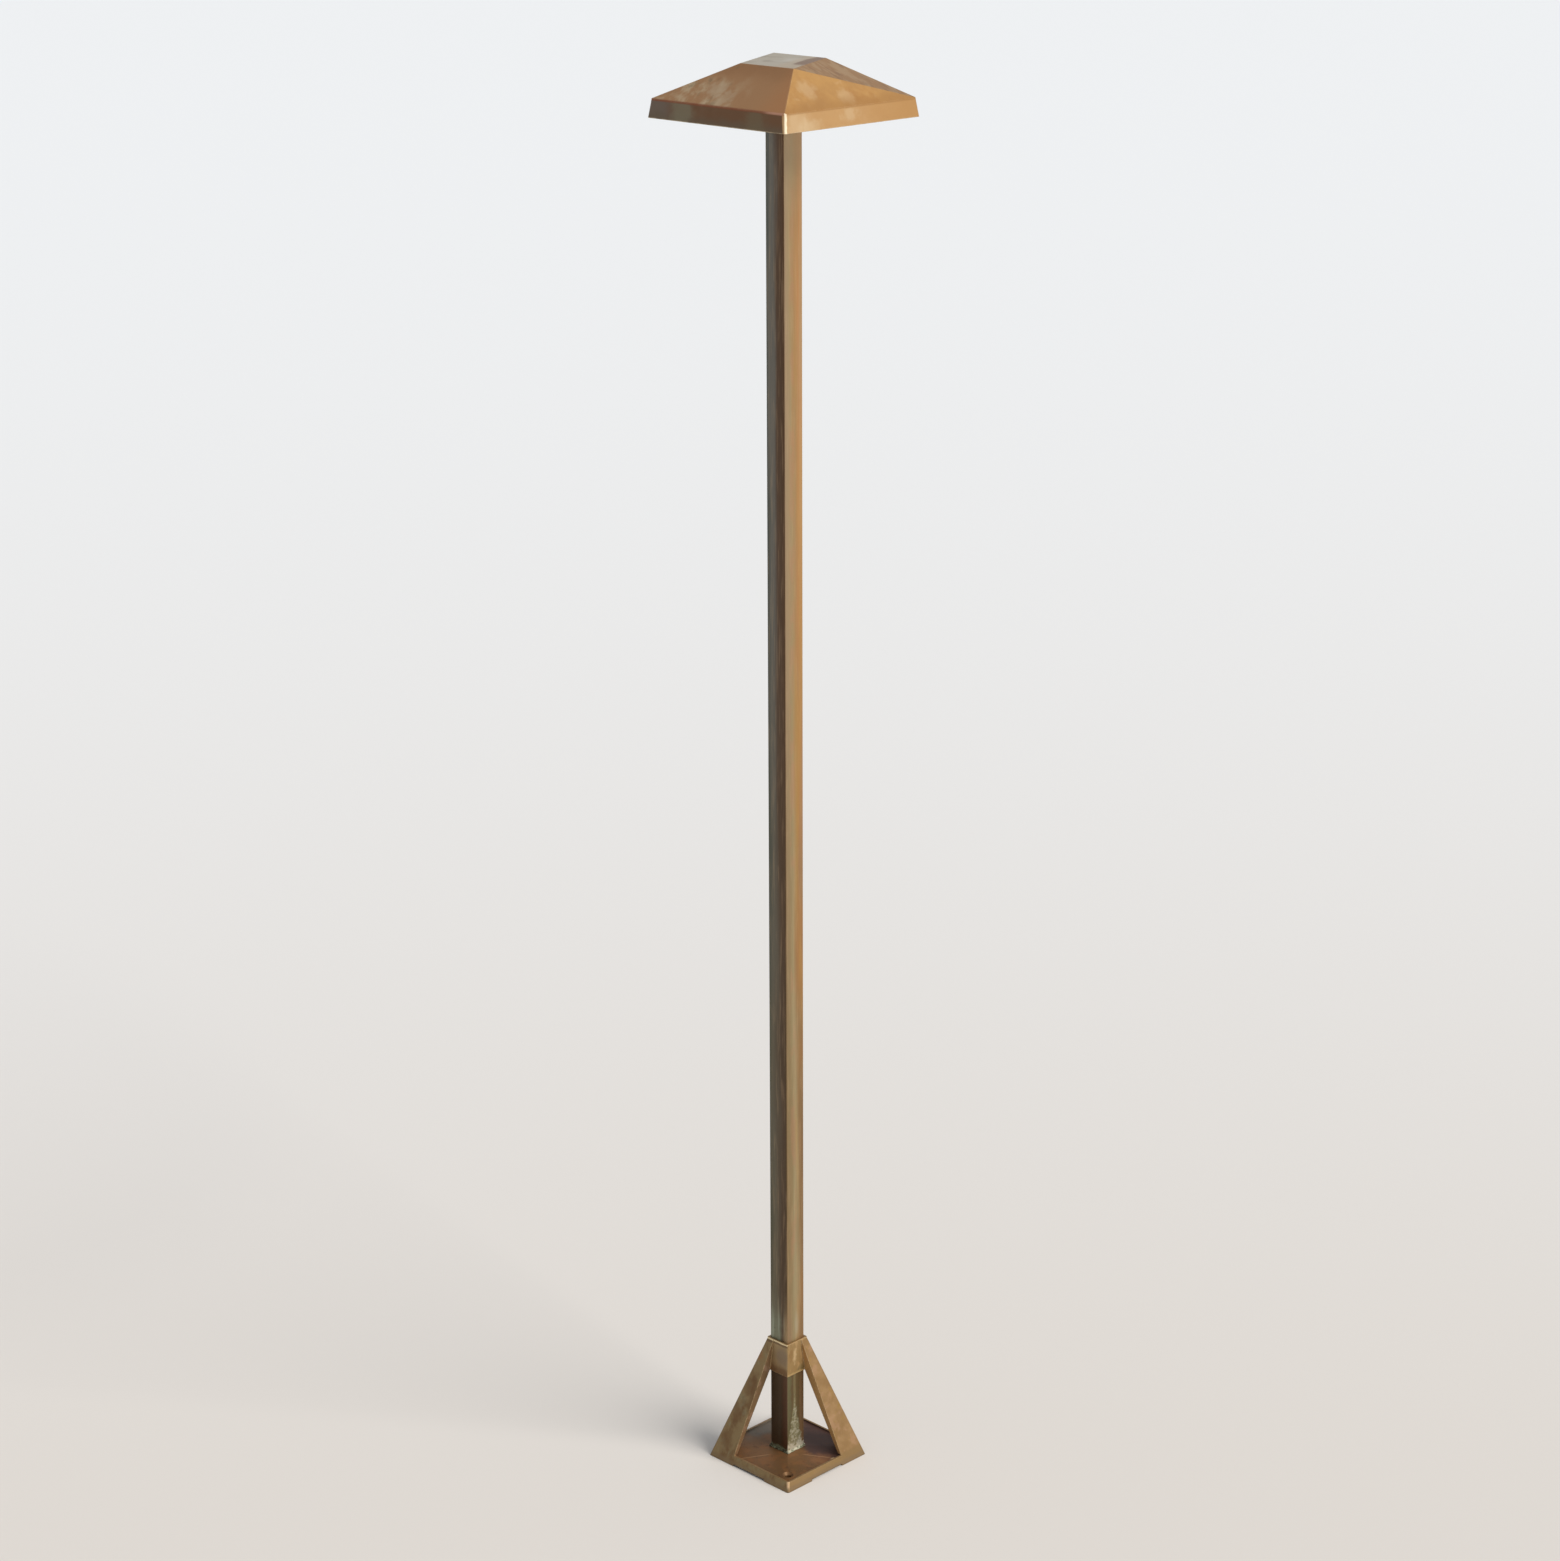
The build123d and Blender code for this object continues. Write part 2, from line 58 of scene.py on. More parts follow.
# %% Camera
camera_spot = Vector((1.8366, -1.8573, 1.4480))
camera_heading, camera_pitch, camera_roll = 44.777, 72.119, -0.20
camera_data = bpy.data.cameras.new("camera")
camera_data.lens = 79.0
camera_data.sensor_width = 36.0
camera = bpy.data.objects.new("camera", camera_data)
heading = Matrix.Rotation(math.radians(camera_heading), 4, "Z")
pitch = Matrix.Rotation(math.radians(camera_pitch), 4, "X")
roll = Matrix.Rotation(math.radians(camera_roll), 4, "Z")
camera.matrix_world = Matrix.Translation(camera_spot) @ (heading @ pitch) @ roll
bpy.context.scene.collection.objects.link(camera)
bpy.context.scene.camera = camera
bpy.context.scene.view_settings.view_transform = "Standard"
print("camera distance in metres:", round(camera_spot.length, 3))

# %% [markdown]
# Finishes are node trees. One helper adds any node, sets its options and sets or links its inputs,
# and gives back one output, so that a finish reads as a list of layers. Colours are written as the
# sRGB hex values that a paint chart shows, and one function turns them to the linear light that a
# renderer works in.


# %% Helpers for finishes
def linear(hex_colour):
    """An sRGB hex colour as linear red, green, blue and alpha."""
    channels = [int(hex_colour[i:i + 2], 16) / 255 for i in (1, 3, 5)]
    return tuple(c / 12.92 if c <= 0.04045 else ((c + 0.055) / 1.055) ** 2.4 for c in channels) + (1.0,)


def add(material, kind, inputs=None, output=0, **settings):
    """Add a node with its settings and links to a material, and give back one of its outputs."""
    made = material.node_tree.nodes.new("ShaderNode" + kind)
    for name, value in settings.items():
        setattr(made, name, value)
    for key, value in (inputs or {}).items():
        if isinstance(value, bpy.types.NodeSocket):
            material.node_tree.links.new(value, made.inputs[key])
        else:
            made.inputs[key].default_value = value
    return made.outputs[output]


def start_finish(name):
    """A new material, its shader's inputs, and the surface point in metres, whole and split in three."""
    material = bpy.data.materials.new(name)
    material.use_nodes = True
    place = add(material, "TexCoord", output="Object")
    split = add(material, "SeparateXYZ", {0: place}).node.outputs
    return material, material.node_tree.nodes["Principled BSDF"].inputs, place, split


for imported in list(bpy.data.materials):
    bpy.data.materials.remove(imported)
finishes = {}
print("helpers ready")

# %% [markdown]
# Aged brass is not one colour. Air and rain turn it brown in clouds, water runs leave pale streaks,
# hands and cloths keep the edges bright, and green salts settle where water stands. Each is a layer:
# a tone, and one or more masks that say where it lies. A mask comes from clouds of noise, from the
# height or place on the piece, from the way a side faces, or from the edges. Some layers paint light
# and shade instead: a sunlit or a shaded side, highlights, a reflection and cast shadows. The stains
# could be painted on an image instead, but masks stay sharp at any distance and need no file.


# %% Masks of a place
def all_of(material, *masks):
    """A mask of where every one of some masks lies."""
    cover = masks[0]
    for mask in masks[1:]:
        cover = add(material, "Math", {0: cover, 1: mask}, operation="MULTIPLY")
    return cover


def clouds(material, place, size_mm, low, high, detail=5.0, rough=0.6):
    """A mask of soft clouds of a size, sharper as the two levels close up."""
    pattern = {"Vector": place, "Scale": 1000 / size_mm, "Detail": detail, "Roughness": rough}
    field = add(material, "TexNoise", pattern)
    return add(material, "MapRange", {0: field, 1: low, 2: high}, interpolation_type="SMOOTHSTEP")


def between(material, place, value, start_mm, end_mm, wander_mm=0.0, size_mm=10.0):
    """A mask that goes from 0 to 1 between two levels of a measure, with an edge that may wander."""
    if wander_mm > 0:
        field = add(material, "TexNoise", {"Vector": place, "Scale": 1000 / size_mm, "Detail": 3.0})
        drift = add(material, "Math", {0: field, 1: 0.5}, operation="SUBTRACT")
        value = add(material, "Math", {0: drift, 1: wander_mm / 500, 2: value}, operation="MULTIPLY_ADD")
    spans = {0: value, 1: start_mm / 1000, 2: end_mm / 1000}
    return add(material, "MapRange", spans, interpolation_type="SMOOTHSTEP")


def spot(material, place, centre_mm, reach_mm, wander_mm=4.0, size_mm=8.0, squeeze=(1, 1, 1)):
    """A soft ragged spot round a point. Squeezing an axis makes the spot longer along it."""
    shift = [-middle * scale / 1000 for middle, scale in zip(centre_mm, squeeze)]
    near = add(material, "Mapping", {"Vector": place, "Location": shift, "Scale": squeeze})
    distance = add(material, "VectorMath", {0: near}, "Value", operation="LENGTH")
    return between(material, place, distance, reach_mm, reach_mm * 0.3, wander_mm, size_mm)


def crease(material, place, start_mm, end_mm, width_mm):
    """A thin line on a level face between two points, given by x and y, that fades at both ends."""
    run, rise = end_mm[0] - start_mm[0], end_mm[1] - start_mm[1]
    length = math.hypot(run, rise)
    shift = (-start_mm[0] / 1000, -start_mm[1] / 1000, 0)
    near = add(material, "VectorMath", {0: place, 1: shift}, operation="ADD")
    side_way, line_way = (-rise / length, run / length, 0), (run / length, rise / length, 0)
    aside = add(material, "VectorMath", {0: near, 1: side_way}, "Value", operation="DOT_PRODUCT")
    aside = add(material, "Math", {0: aside}, operation="ABSOLUTE")
    along = add(material, "VectorMath", {0: near, 1: line_way}, "Value", operation="DOT_PRODUCT")
    fade_mm = 5
    return all_of(material, between(material, place, aside, width_mm, width_mm * 0.3),
                  between(material, place, along, 0, fade_mm),
                  between(material, place, along, length, length - fade_mm))


print("place masks ready")


# %% Masks of a side or an edge
def facing(material, direction, low, high):
    """A mask of the sides that face one way, for the weather from there and for painted light and shade."""
    normal = add(material, "TexCoord", output="Normal")
    match = add(material, "VectorMath", {0: normal, 1: direction}, "Value", operation="DOT_PRODUCT")
    return add(material, "MapRange", {0: match, 1: low, 2: high}, interpolation_type="SMOOTHSTEP")


def worn_edges(material, place, reach_mm, break_mm):
    """A mask of the outer edges, broken up so that the wear looks rubbed and not drawn."""
    soft = add(material, "Bevel", {"Radius": reach_mm / 1000}, samples=6)
    true = add(material, "NewGeometry", output="True Normal")
    match = add(material, "VectorMath", {0: soft, 1: true}, "Value", operation="DOT_PRODUCT")
    edge = add(material, "MapRange", {0: match, 1: 0.998, 2: 0.90}, interpolation_type="SMOOTHSTEP")
    return all_of(material, edge, clouds(material, place, break_mm, 0.30, 0.62))


print("side masks ready")


# %% Layers
def layer(material, colour, hex_colour, amount, *masks):
    """Lay a tone over a colour where all the masks lie, up to an amount."""
    cover = all_of(material, amount, *masks)
    return add(material, "Mix", {0: cover, 6: colour, 7: linear(hex_colour)}, 2, data_type="RGBA")


def finish(name, material, shader, colour, rough, metal, skin, skin_depth_mm, edge_mm=0.6):
    """Join a colour, a roughness and a fine skin to the shader, over edges rounded as they are seen."""
    soft = add(material, "Bevel", {"Radius": edge_mm / 1000}, samples=4)
    bump = add(material, "Bump", {"Height": skin, "Distance": skin_depth_mm / 1000, "Normal": soft})
    for key, output in (("Base Color", colour), ("Roughness", rough), ("Normal", bump)):
        material.node_tree.links.new(output, shader[key])
    shader["Metallic"].default_value = metal
    finishes[name] = material


print("layers ready")

# %% [markdown]
# The hat is cast brass, burnished and lacquered when new and left outdoors since. The sunlit skirt is
# painted a lighter golden tone, a painted light. The shady side is browner, with grey-tan blotches
# low on the roof where rain dries slowly, and its skirt is painted dark brown, a painted shade. The
# upper facet has a painted reflection, and the skirt's near corner a painted highlight. The flat top
# has dulled to a pale grey. Each side could have a material of its own, but masks of the way a side
# faces let the painted light and shade and the stains run over the creases.
# The skin of a sand casting is a grain of under half a millimetre. That is too fine to show in the
# picture, so it is drawn about a millimetre across and a few hundredths deep.

# %% Hat finish, the two sides
material, shader, place, (x, y, z) = start_finish("cast_brass_hat")
shady = facing(material, (-0.15, -1.0, 0.0), 0.10, 0.55)
sunny = facing(material, (1.0, 0.0, 0.0), 0.15, 0.32)
wall = facing(material, (0.0, 0.0, 1.0), 0.35, 0.15)
eave_z = 1145.0
golden = clouds(material, place, 34.0, 0.36, 0.64)
colour = layer(material, linear("#B18550"), "#BF9257", 1.0, golden)
colour = layer(material, colour, "#B07E46", 0.7, clouds(material, place, 20.0, 0.50, 0.68, 4.0))
colour = layer(material, colour, "#D2B084", 0.35, clouds(material, place, 11.0, 0.58, 0.72, 7.0))
for centre in ((57, -34, 1158), (65, 0, 1151)):
    colour = layer(material, colour, "#D2B388", 0.45, sunny, spot(material, place, centre, 11.0, 7.0, 6.0))
colour = layer(material, colour, "#A77A45", 0.6, sunny,
               between(material, place, z, eave_z + 9, eave_z + 1.5, 4.0, 16.0),
               between(material, place, z, eave_z - 1, eave_z + 1))
print("hat sides ready")

# %% Hat finish, the shady roof
colour = layer(material, colour, "#AC8159", 0.95, shady)
colour = layer(material, colour, "#9D7149", 0.8, shady,
               between(material, place, z, eave_z + 13, eave_z + 27, 5.0, 18.0))
colour = layer(material, colour, "#B67F50", 0.7, shady, between(material, place, x, 30, 62, 8.0, 20.0))
slant = (0, 0, math.radians(28))
streaks = add(material, "Mapping", {"Vector": place, "Rotation": slant, "Scale": (1.0, 0.6, 1.0)})
low_left = between(material, place, x, 26, -14, 16.0, 22.0)
low_roof = between(material, place, z, eave_z + 21, eave_z + 11, 7.0, 16.0)
colour = layer(material, colour, "#C9B492", 0.72, shady, low_left, low_roof,
               clouds(material, streaks, 11.0, 0.40, 0.64, 4.0))
colour = layer(material, colour, "#7F6C4E", 0.5, shady, low_left,
               clouds(material, streaks, 9.0, 0.54, 0.70, 3.0))
for centre in ((2, -66, 1150), (-13, -58, 1156)):
    colour = layer(material, colour, "#C0A788", 0.6, shady, spot(material, place, centre, 12.0, 9.0, 6.0))
print("shady roof ready")

# %% Hat finish, the skirt
# Painted shade: the shaded side of the skirt is painted dark brown.
colour = layer(material, colour, "#6F4E33", 0.95, shady, wall)
colour = layer(material, colour, "#73665A", 0.8, shady, wall,
               between(material, place, x, -38, -60, 8.0, 20.0))
colour = layer(material, colour, "#6B5C48", 0.7, shady, wall,
               between(material, place, z, eave_z - 6, eave_z - 13, 4.0, 14.0))
colour = layer(material, colour, "#81775F", 0.8, shady, wall,
               spot(material, place, (-36, -71, 1139), 17.0, 8.0, 9.0))
colour = layer(material, colour, "#77694F", 0.6, shady, wall,
               spot(material, place, (42, -71, 1137), 16.0, 8.0, 9.0))
# Painted light: the sunlit side of the skirt is painted a lighter golden tone.
colour = layer(material, colour, "#CAA06E", 0.7, sunny, wall)
colour = layer(material, colour, "#D2AF82", 0.4, sunny, wall,
               spot(material, place, (72, -56, 1134), 20.0, 10.0, 8.0))
for centre, reach_mm in (((73, -60, 1136), 11.0), ((73, -46, 1133), 9.0), ((72, -3, 1139), 7.0)):
    colour = layer(material, colour, "#DCC39C", 0.36, sunny, wall,
                   spot(material, place, centre, reach_mm, 6.0, 6.0, (1, 0.6, 1)))
colour = layer(material, colour, "#BB8C54", 0.7, sunny, wall, between(material, place, y, 0, 60, 20.0, 25.0))
print("skirt ready")

# %% Hat finish, the top and the far roof
upper = facing(material, (0.0, 0.0, 1.0), 0.895, 0.915)
# Painted reflection: the upper facet is painted browner, with light and dark streaks along its crease.
colour = layer(material, colour, "#A17A52", 0.85, upper)
crease_turn = (0, 0, math.radians(-76.6))
along_crease = add(material, "Mapping", {"Vector": place, "Rotation": crease_turn, "Scale": (0.12, 1, 1)})
colour = layer(material, colour, "#BC9F7A", 0.50, upper, clouds(material, along_crease, 6.0, 0.46, 0.58, 3.0))
colour = layer(material, colour, "#8A6543", 0.6, upper, clouds(material, along_crease, 5.0, 0.56, 0.64, 3.0))
flat_top = facing(material, (0.0, 0.0, 1.0), 0.985, 0.998)
colour = layer(material, colour, "#C4BCAC", 0.95, flat_top)
colour = layer(material, colour, "#A39784", 0.6, flat_top, clouds(material, place, 22.0, 0.50, 0.66))
colour = layer(material, colour, "#D3CDC2", 0.7, flat_top,
               spot(material, place, (6, 8, 1173), 18.0, 8.0, 12.0))
to_edge = add(material, "VectorMath", {0: place, 1: (0.897, 0.441, 0.0)}, "Value", operation="DOT_PRODUCT")
colour = layer(material, colour, "#C6B49C", 0.7, flat_top,
               between(material, place, to_edge, 2, 12, 4.0, 12.0))
colour = layer(material, colour, "#8A6A55", 0.85, flat_top,
               between(material, place, to_edge, 13, 17, 4.0, 12.0),
               between(material, place, y, -22, -8, 6.0, 12.0))
print("hat top ready")

# %% Hat finish, the edges
eave_line = all_of(material, between(material, place, z, eave_z - 1.6, eave_z - 0.4),
                   between(material, place, z, eave_z + 1, eave_z))
colour = layer(material, colour, "#8A4E30", 0.9, shady, eave_line)
colour = layer(material, colour, "#D9A58A", 0.7, shady, eave_line,
               between(material, place, x, 44, 62, 6.0, 6.0))
colour = layer(material, colour, "#A2743F", 0.6, sunny, eave_line)
edge = worn_edges(material, place, 1.4, 7.0)
colour = layer(material, colour, "#EBD3AC", 0.7, edge)
# The skirt's near corner leans out downwards, so a level of x - y + lean * z follows it all the way
skirt_lean, corner_level = 2 / 7, 467.0
to_front = add(material, "Math", {0: x, 1: y}, operation="SUBTRACT")
flared = add(material, "Math", {0: z, 1: skirt_lean, 2: to_front}, operation="MULTIPLY_ADD")
corner_highlight = between(material, place, flared, corner_level - 0.9, corner_level, 0.8, 3.0)
# Painted highlight: a near-white line down the skirt's near corner, on the side that faces the sun.
colour = layer(material, colour, "#FFF0D2", 0.9, corner_highlight, wall,
               facing(material, (1.0, -0.3, 0.0), 0.80, 0.92))
rough = add(material, "MapRange", {0: edge, 3: 0.44, 4: 0.30})
grain = add(material, "TexNoise", {"Vector": place, "Scale": 1000 / 1.1, "Detail": 6.0, "Roughness": 0.7})
finish("cast_brass_hat", material, shader, colour, rough, 0.5, grain, 0.03)
print("hat finish ready")

# %% [markdown]
# The base is the same alloy with a rougher skin. It sits in splash and soil, so it has browned in
# blotches, most on the shady side. The tray floor has gone a red brown. Behind the stem it has a
# painted shadow, dark purple-brown at the back right and grey at the back left, a paler patch over
# the right leg's real shadow, a painted light, and small painted highlights at the feet of the legs.
# The cut edges of the legs are painted against their light: the edge that faces away from the sun
# is pale, a painted light, and the edge that faces the sun is dark, a painted shade. The sunlit side
# of the lip and the faces that face down are painted darker, a painted shade, and the plate's near
# corner has a painted highlight. The legs, the collar and the tray are one casting, so they are one
# material, and the height and the distance from the stem tell them apart.

# %% Base finish, the legs
material, shader, place, (x, y, z) = start_finish("cast_brass_base")
shady = facing(material, (-0.15, -1.0, 0.0), 0.25, 0.70)
colour = layer(material, linear("#8F7047"), "#A08057", 1.0, clouds(material, place, 17.0, 0.36, 0.64))
colour = layer(material, colour, "#AC8767", 0.55, clouds(material, place, 10.0, 0.52, 0.66, 4.0))
colour = layer(material, colour, "#9A7A3E", 0.5, clouds(material, place, 7.0, 0.56, 0.70, 4.0))
colour = layer(material, colour, "#8A7550", 0.9, shady)
leg_turn = (0, math.radians(-18), 0)
up_leg = add(material, "Mapping", {"Vector": place, "Rotation": leg_turn, "Scale": (1, 1, 0.5)})
colour = layer(material, colour, "#70512F", 0.75, shady, clouds(material, up_leg, 9.0, 0.46, 0.64, 5.0))
colour = layer(material, colour, "#8F8A6C", 0.6, shady, clouds(material, up_leg, 7.0, 0.50, 0.72, 5.0))
for centre in ((-31, -45, 18), (-26, -37, 42), (-18, -28, 68)):
    colour = layer(material, colour, "#6F4F2E", 0.6, shady,
                   spot(material, place, centre, 9.0, 6.0, 5.0, (1, 0.2, 0.6)))
# Painted shade: the left leg's cut edge faces the sun and is painted a dark tone, with pinkish clouds.
cut_lit = facing(material, (1.0, 0.0, -0.1), 0.75, 0.95)
colour = layer(material, colour, "#876D50", 0.8, cut_lit, between(material, place, x, -1, -5))
colour = layer(material, colour, "#B28F78", 0.5, cut_lit, between(material, place, x, -1, -5),
               clouds(material, place, 8.0, 0.52, 0.64))
# Painted light: the right leg's cut edge faces away from the sun and is painted pale.
cut_dark = facing(material, (0.0, -1.0, 0.0), 0.85, 0.98)
colour = layer(material, colour, "#C39B66", 0.9, cut_dark, between(material, place, y, 1, 5))
print("legs ready")

# %% Base finish, the collar
collar_low_z, collar_top_z, collar_half = 81.5, 111.5, 12.0
x_size = add(material, "Math", {0: x}, operation="ABSOLUTE")
y_size = add(material, "Math", {0: y}, operation="ABSOLUTE")
reach = add(material, "Math", {0: x_size, 1: y_size}, operation="MAXIMUM")
collar = all_of(material, between(material, place, z, collar_low_z - 1, collar_low_z),
                between(material, place, reach, collar_half + 0.6, collar_half + 0.2))
collar_lit = facing(material, (1.0, 0.0, 0.0), 0.5, 0.9)
upright_streaks = add(material, "Mapping", {"Vector": place, "Scale": (1, 1, 0.3)})
colour = layer(material, colour, "#A28963", 0.85, collar, shady)
colour = layer(material, colour, "#6B4A2A", 0.8, collar, shady,
               between(material, place, z, collar_low_z + 10.5, collar_low_z + 2.5, 5.0, 8.0))
colour = layer(material, colour, "#9C8052", 0.8, collar, collar_lit)
colour = layer(material, colour, "#B9986A", 0.7, collar, collar_lit,
               clouds(material, upright_streaks, 5.0, 0.50, 0.62, 3.0))
colour = layer(material, colour, "#6F6440", 0.6, collar, spot(material, place, (12, 4, 84), 7.0, 3.0, 6.0))
colour = layer(material, colour, "#8A673A", 0.5, collar,
               spot(material, place, (12, -8, 101), 4.0, 2.0, 4.0, (1, 1, 0.4)))
colour = layer(material, colour, "#E0C498", 0.5, collar,
               spot(material, place, (12, -3, 98), 2.8, 2.5, 4.0, (1, 1, 0.3)))
colour = layer(material, colour, "#CDB07A", 0.5, collar, collar_lit,
               between(material, place, z, collar_low_z + 2.5, collar_low_z + 1.1, 1.2, 5.0))
colour = layer(material, colour, "#76665A", 0.5, collar, shady,
               spot(material, place, (6, -12, 98), 12.0, 3.0, 6.0))
colour = layer(material, colour, "#9A6238", 0.5, shady, spot(material, place, (-17, -19, 96), 7.0, 3.0, 5.0))
# Near the top of the shady collar face: a dark band, and above it a cream line that is a painted highlight on
# the rounded top edge.
for hex_colour, amount, low_mm, high_mm in (("#5A3F26", 0.6, 3.9, 2.7), ("#F0DCB0", 0.9, 1.6, 1.1)):
    near_top = between(material, place, z, collar_top_z - low_mm, collar_top_z - high_mm, 0.6, 5.0)
    colour = layer(material, colour, hex_colour, amount, shady, near_top)
print("collar ready")

# %% Base finish, the tray
lip_inside = 43.4
tray = all_of(material, between(material, place, z, 8.9, 8.4),
              between(material, place, reach, lip_inside + 0.2, lip_inside - 0.2),
              facing(material, (0.0, 0.0, 1.0), -0.6, -0.2))
diagonal = add(material, "Math", {0: x, 1: y}, operation="ADD")
colour = layer(material, colour, "#7A5838", 0.95, tray)
to_front = add(material, "Math", {0: x, 1: y}, operation="SUBTRACT")
colour = layer(material, colour, "#6F5233", 0.7, tray, between(material, place, to_front, 36, 58, 6.0, 14.0))
colour = layer(material, colour, "#8A5F39", 0.7, tray, clouds(material, place, 9.0, 0.48, 0.62))
colour = layer(material, colour, "#5F3F2A", 0.6, tray, clouds(material, place, 6.0, 0.56, 0.68))
# Painted shadow: dark purple-brown behind the stem on the right, and grey behind it on the left.
colour = layer(material, colour, "#4A3232", 0.8, tray, between(material, place, diagonal, 8, 26, 5.0, 12.0),
               between(material, place, y, 2, 8))
colour = layer(material, colour, "#7C7970", 0.75, tray,
               spot(material, place, (-40, 14, 7), 22.0, 8.0, 10.0, (1, 0.6, 1)))
# Painted light: a paler brown patch over the real shadow of the right leg.
colour = layer(material, colour, "#9A6B45", 0.6, tray, spot(material, place, (36, 5, 7), 12.0, 5.0, 6.0))
# Painted highlights: small pale spots where the feet of the legs meet the lip.
for centre in ((-21.8, -43.6, 8), (42.4, 12.3, 8)):
    colour = layer(material, colour, "#D8B98E", 0.8, tray, spot(material, place, centre, 3.5, 2.0, 3.0))
for start, end in (((-15.8, -44.4), (0.4, -19.8)), ((18.1, -2.5), (40.7, 13.1))):
    colour = layer(material, colour, "#C79B70", 0.6, tray, crease(material, place, start, end, 0.55))
print("tray ready")

# %% Base finish, the lip and the edges
rim = all_of(material, between(material, place, z, 10.5, 8.2),
             between(material, place, reach, lip_inside + 0.4, lip_inside + 1.0))
# Painted shade: the side of the lip that faces the sun is painted darker.
colour = layer(material, colour, "#8A7048", 0.7, rim, facing(material, (0.9, 0.3, 0.6), 0.3, 0.6))
colour = layer(material, colour, "#7C6040", 0.7, rim, facing(material, (0.0, 0.0, 1.0), 0.9, 0.98))
colour = layer(material, colour, "#806A4E", 0.65, rim, between(material, place, z, 5.5, 2.5, 2.0, 8.0))
# The near corner of the plate leans with the legs, and is found as the skirt's was
hip_lean, corner_level = 0.635, 93.3
flared = add(material, "Math", {0: z, 1: hip_lean, 2: to_front}, operation="MULTIPLY_ADD")
corner_highlight = between(material, place, flared, corner_level - 0.5, corner_level, 0.3, 3.0)
# Painted highlight: a pale cream line down the plate's near corner.
colour = layer(material, colour, "#D9B892", 0.7, rim, corner_highlight, between(material, place, z, 1.5, 5.0))
# Painted shade: the faces that face down, low on the base, are painted dark.
underside = facing(material, (0, 0, -1), 0.5, 0.9)
colour = layer(material, colour, "#5F4C38", 0.8, underside, between(material, place, z, 12, 8))
edge = worn_edges(material, place, 1.0, 4.0)
colour = layer(material, colour, "#DCC194", 0.75, edge, between(material, place, z, 6, 12))
rough = add(material, "MapRange", {0: edge, 3: 0.50, 4: 0.34})
grain = add(material, "TexNoise", {"Vector": place, "Scale": 1000 / 1.4, "Detail": 6.0, "Roughness": 0.7})
finish("cast_brass_base", material, shader, colour, rough, 0.5, grain, 0.05, 0.9)
print("base finish ready")

# %% [markdown]
# The stem is drawn tube, so its marks run along it in bands, each a few millimetres wide. One number
# runs across two neighbouring sides, as x plus y does on a square tube, and a colour ramp reads it.
# The upper and the lower half each have their own ramp, because the tube browns and greens towards
# the wet ground. Noise drawn out lengthwise makes the bands wander, but never over the corner. A wave
# texture could draw bands as well, but a ramp gives each one its own tone and width. The scratches
# that a die leaves are under a tenth of a millimetre wide, so they too are drawn coarser, at 0.9 mm.

# %% Stem finish, the bands
material, shader, place, (x, y, z) = start_finish("drawn_brass")
drawn = add(material, "Mapping", {"Vector": place, "Scale": (1.0, 1.0, 0.05)})
across = add(material, "Math", {0: x, 1: y}, operation="ADD")
from_corner = add(material, "Math", {0: across}, operation="ABSOLUTE")
from_corner = between(material, place, from_corner, 1.0, 7.0)
field = add(material, "TexNoise", {"Vector": drawn, "Scale": 1000 / 9, "Detail": 2.0})
drift = add(material, "Math", {0: field, 1: 0.5}, operation="SUBTRACT")
drift = add(material, "Math", {0: drift, 1: from_corner}, operation="MULTIPLY")
wandered = add(material, "Math", {0: drift, 1: 0.012, 2: across}, operation="MULTIPLY_ADD")
band = add(material, "MapRange", {0: wandered, 1: -0.020, 2: 0.020})
# Below the middle the ramps paint the shaded side in dark tones: the bands are streaks of tone, and their
# darkness is partly a painted shade. Above the middle is the sunlit side.
upper_tones = [(0.03, "#4E524A"), (0.10, "#716C62"), (0.21, "#68635A"), (0.30, "#563F2B"), (0.49, "#513516"),
               (0.51, "#9B8367"), (0.68, "#9E8962"), (0.78, "#A28053"), (0.88, "#B18252"), (0.98, "#B79068")]
lower_tones = [(0.02, "#54523F"), (0.14, "#665D49"), (0.28, "#594B38"), (0.38, "#503C27"), (0.49, "#4F3A20"),
               (0.51, "#846D4A"), (0.64, "#8B7853"), (0.74, "#9A8B68"), (0.86, "#876B45"), (0.98, "#7F6140")]
halves = []
for tones in (upper_tones, lower_tones):
    ramp = add(material, "ValToRGB", {0: band})
    stops = ramp.node.color_ramp.elements
    for position, hex_colour in tones[:-2]:
        stops.new(position)
    for stop, (position, hex_colour) in zip(stops, tones):
        stop.position = position
        stop.color = linear(hex_colour)
    halves.append(ramp)
descent = between(material, place, z, 860, 260, 100.0, 200.0)
colour = add(material, "Mix", {0: descent, 6: halves[0], 7: halves[1]}, 2, data_type="RGBA")
print("stem bands:", len(upper_tones), "above,", len(lower_tones), "below")

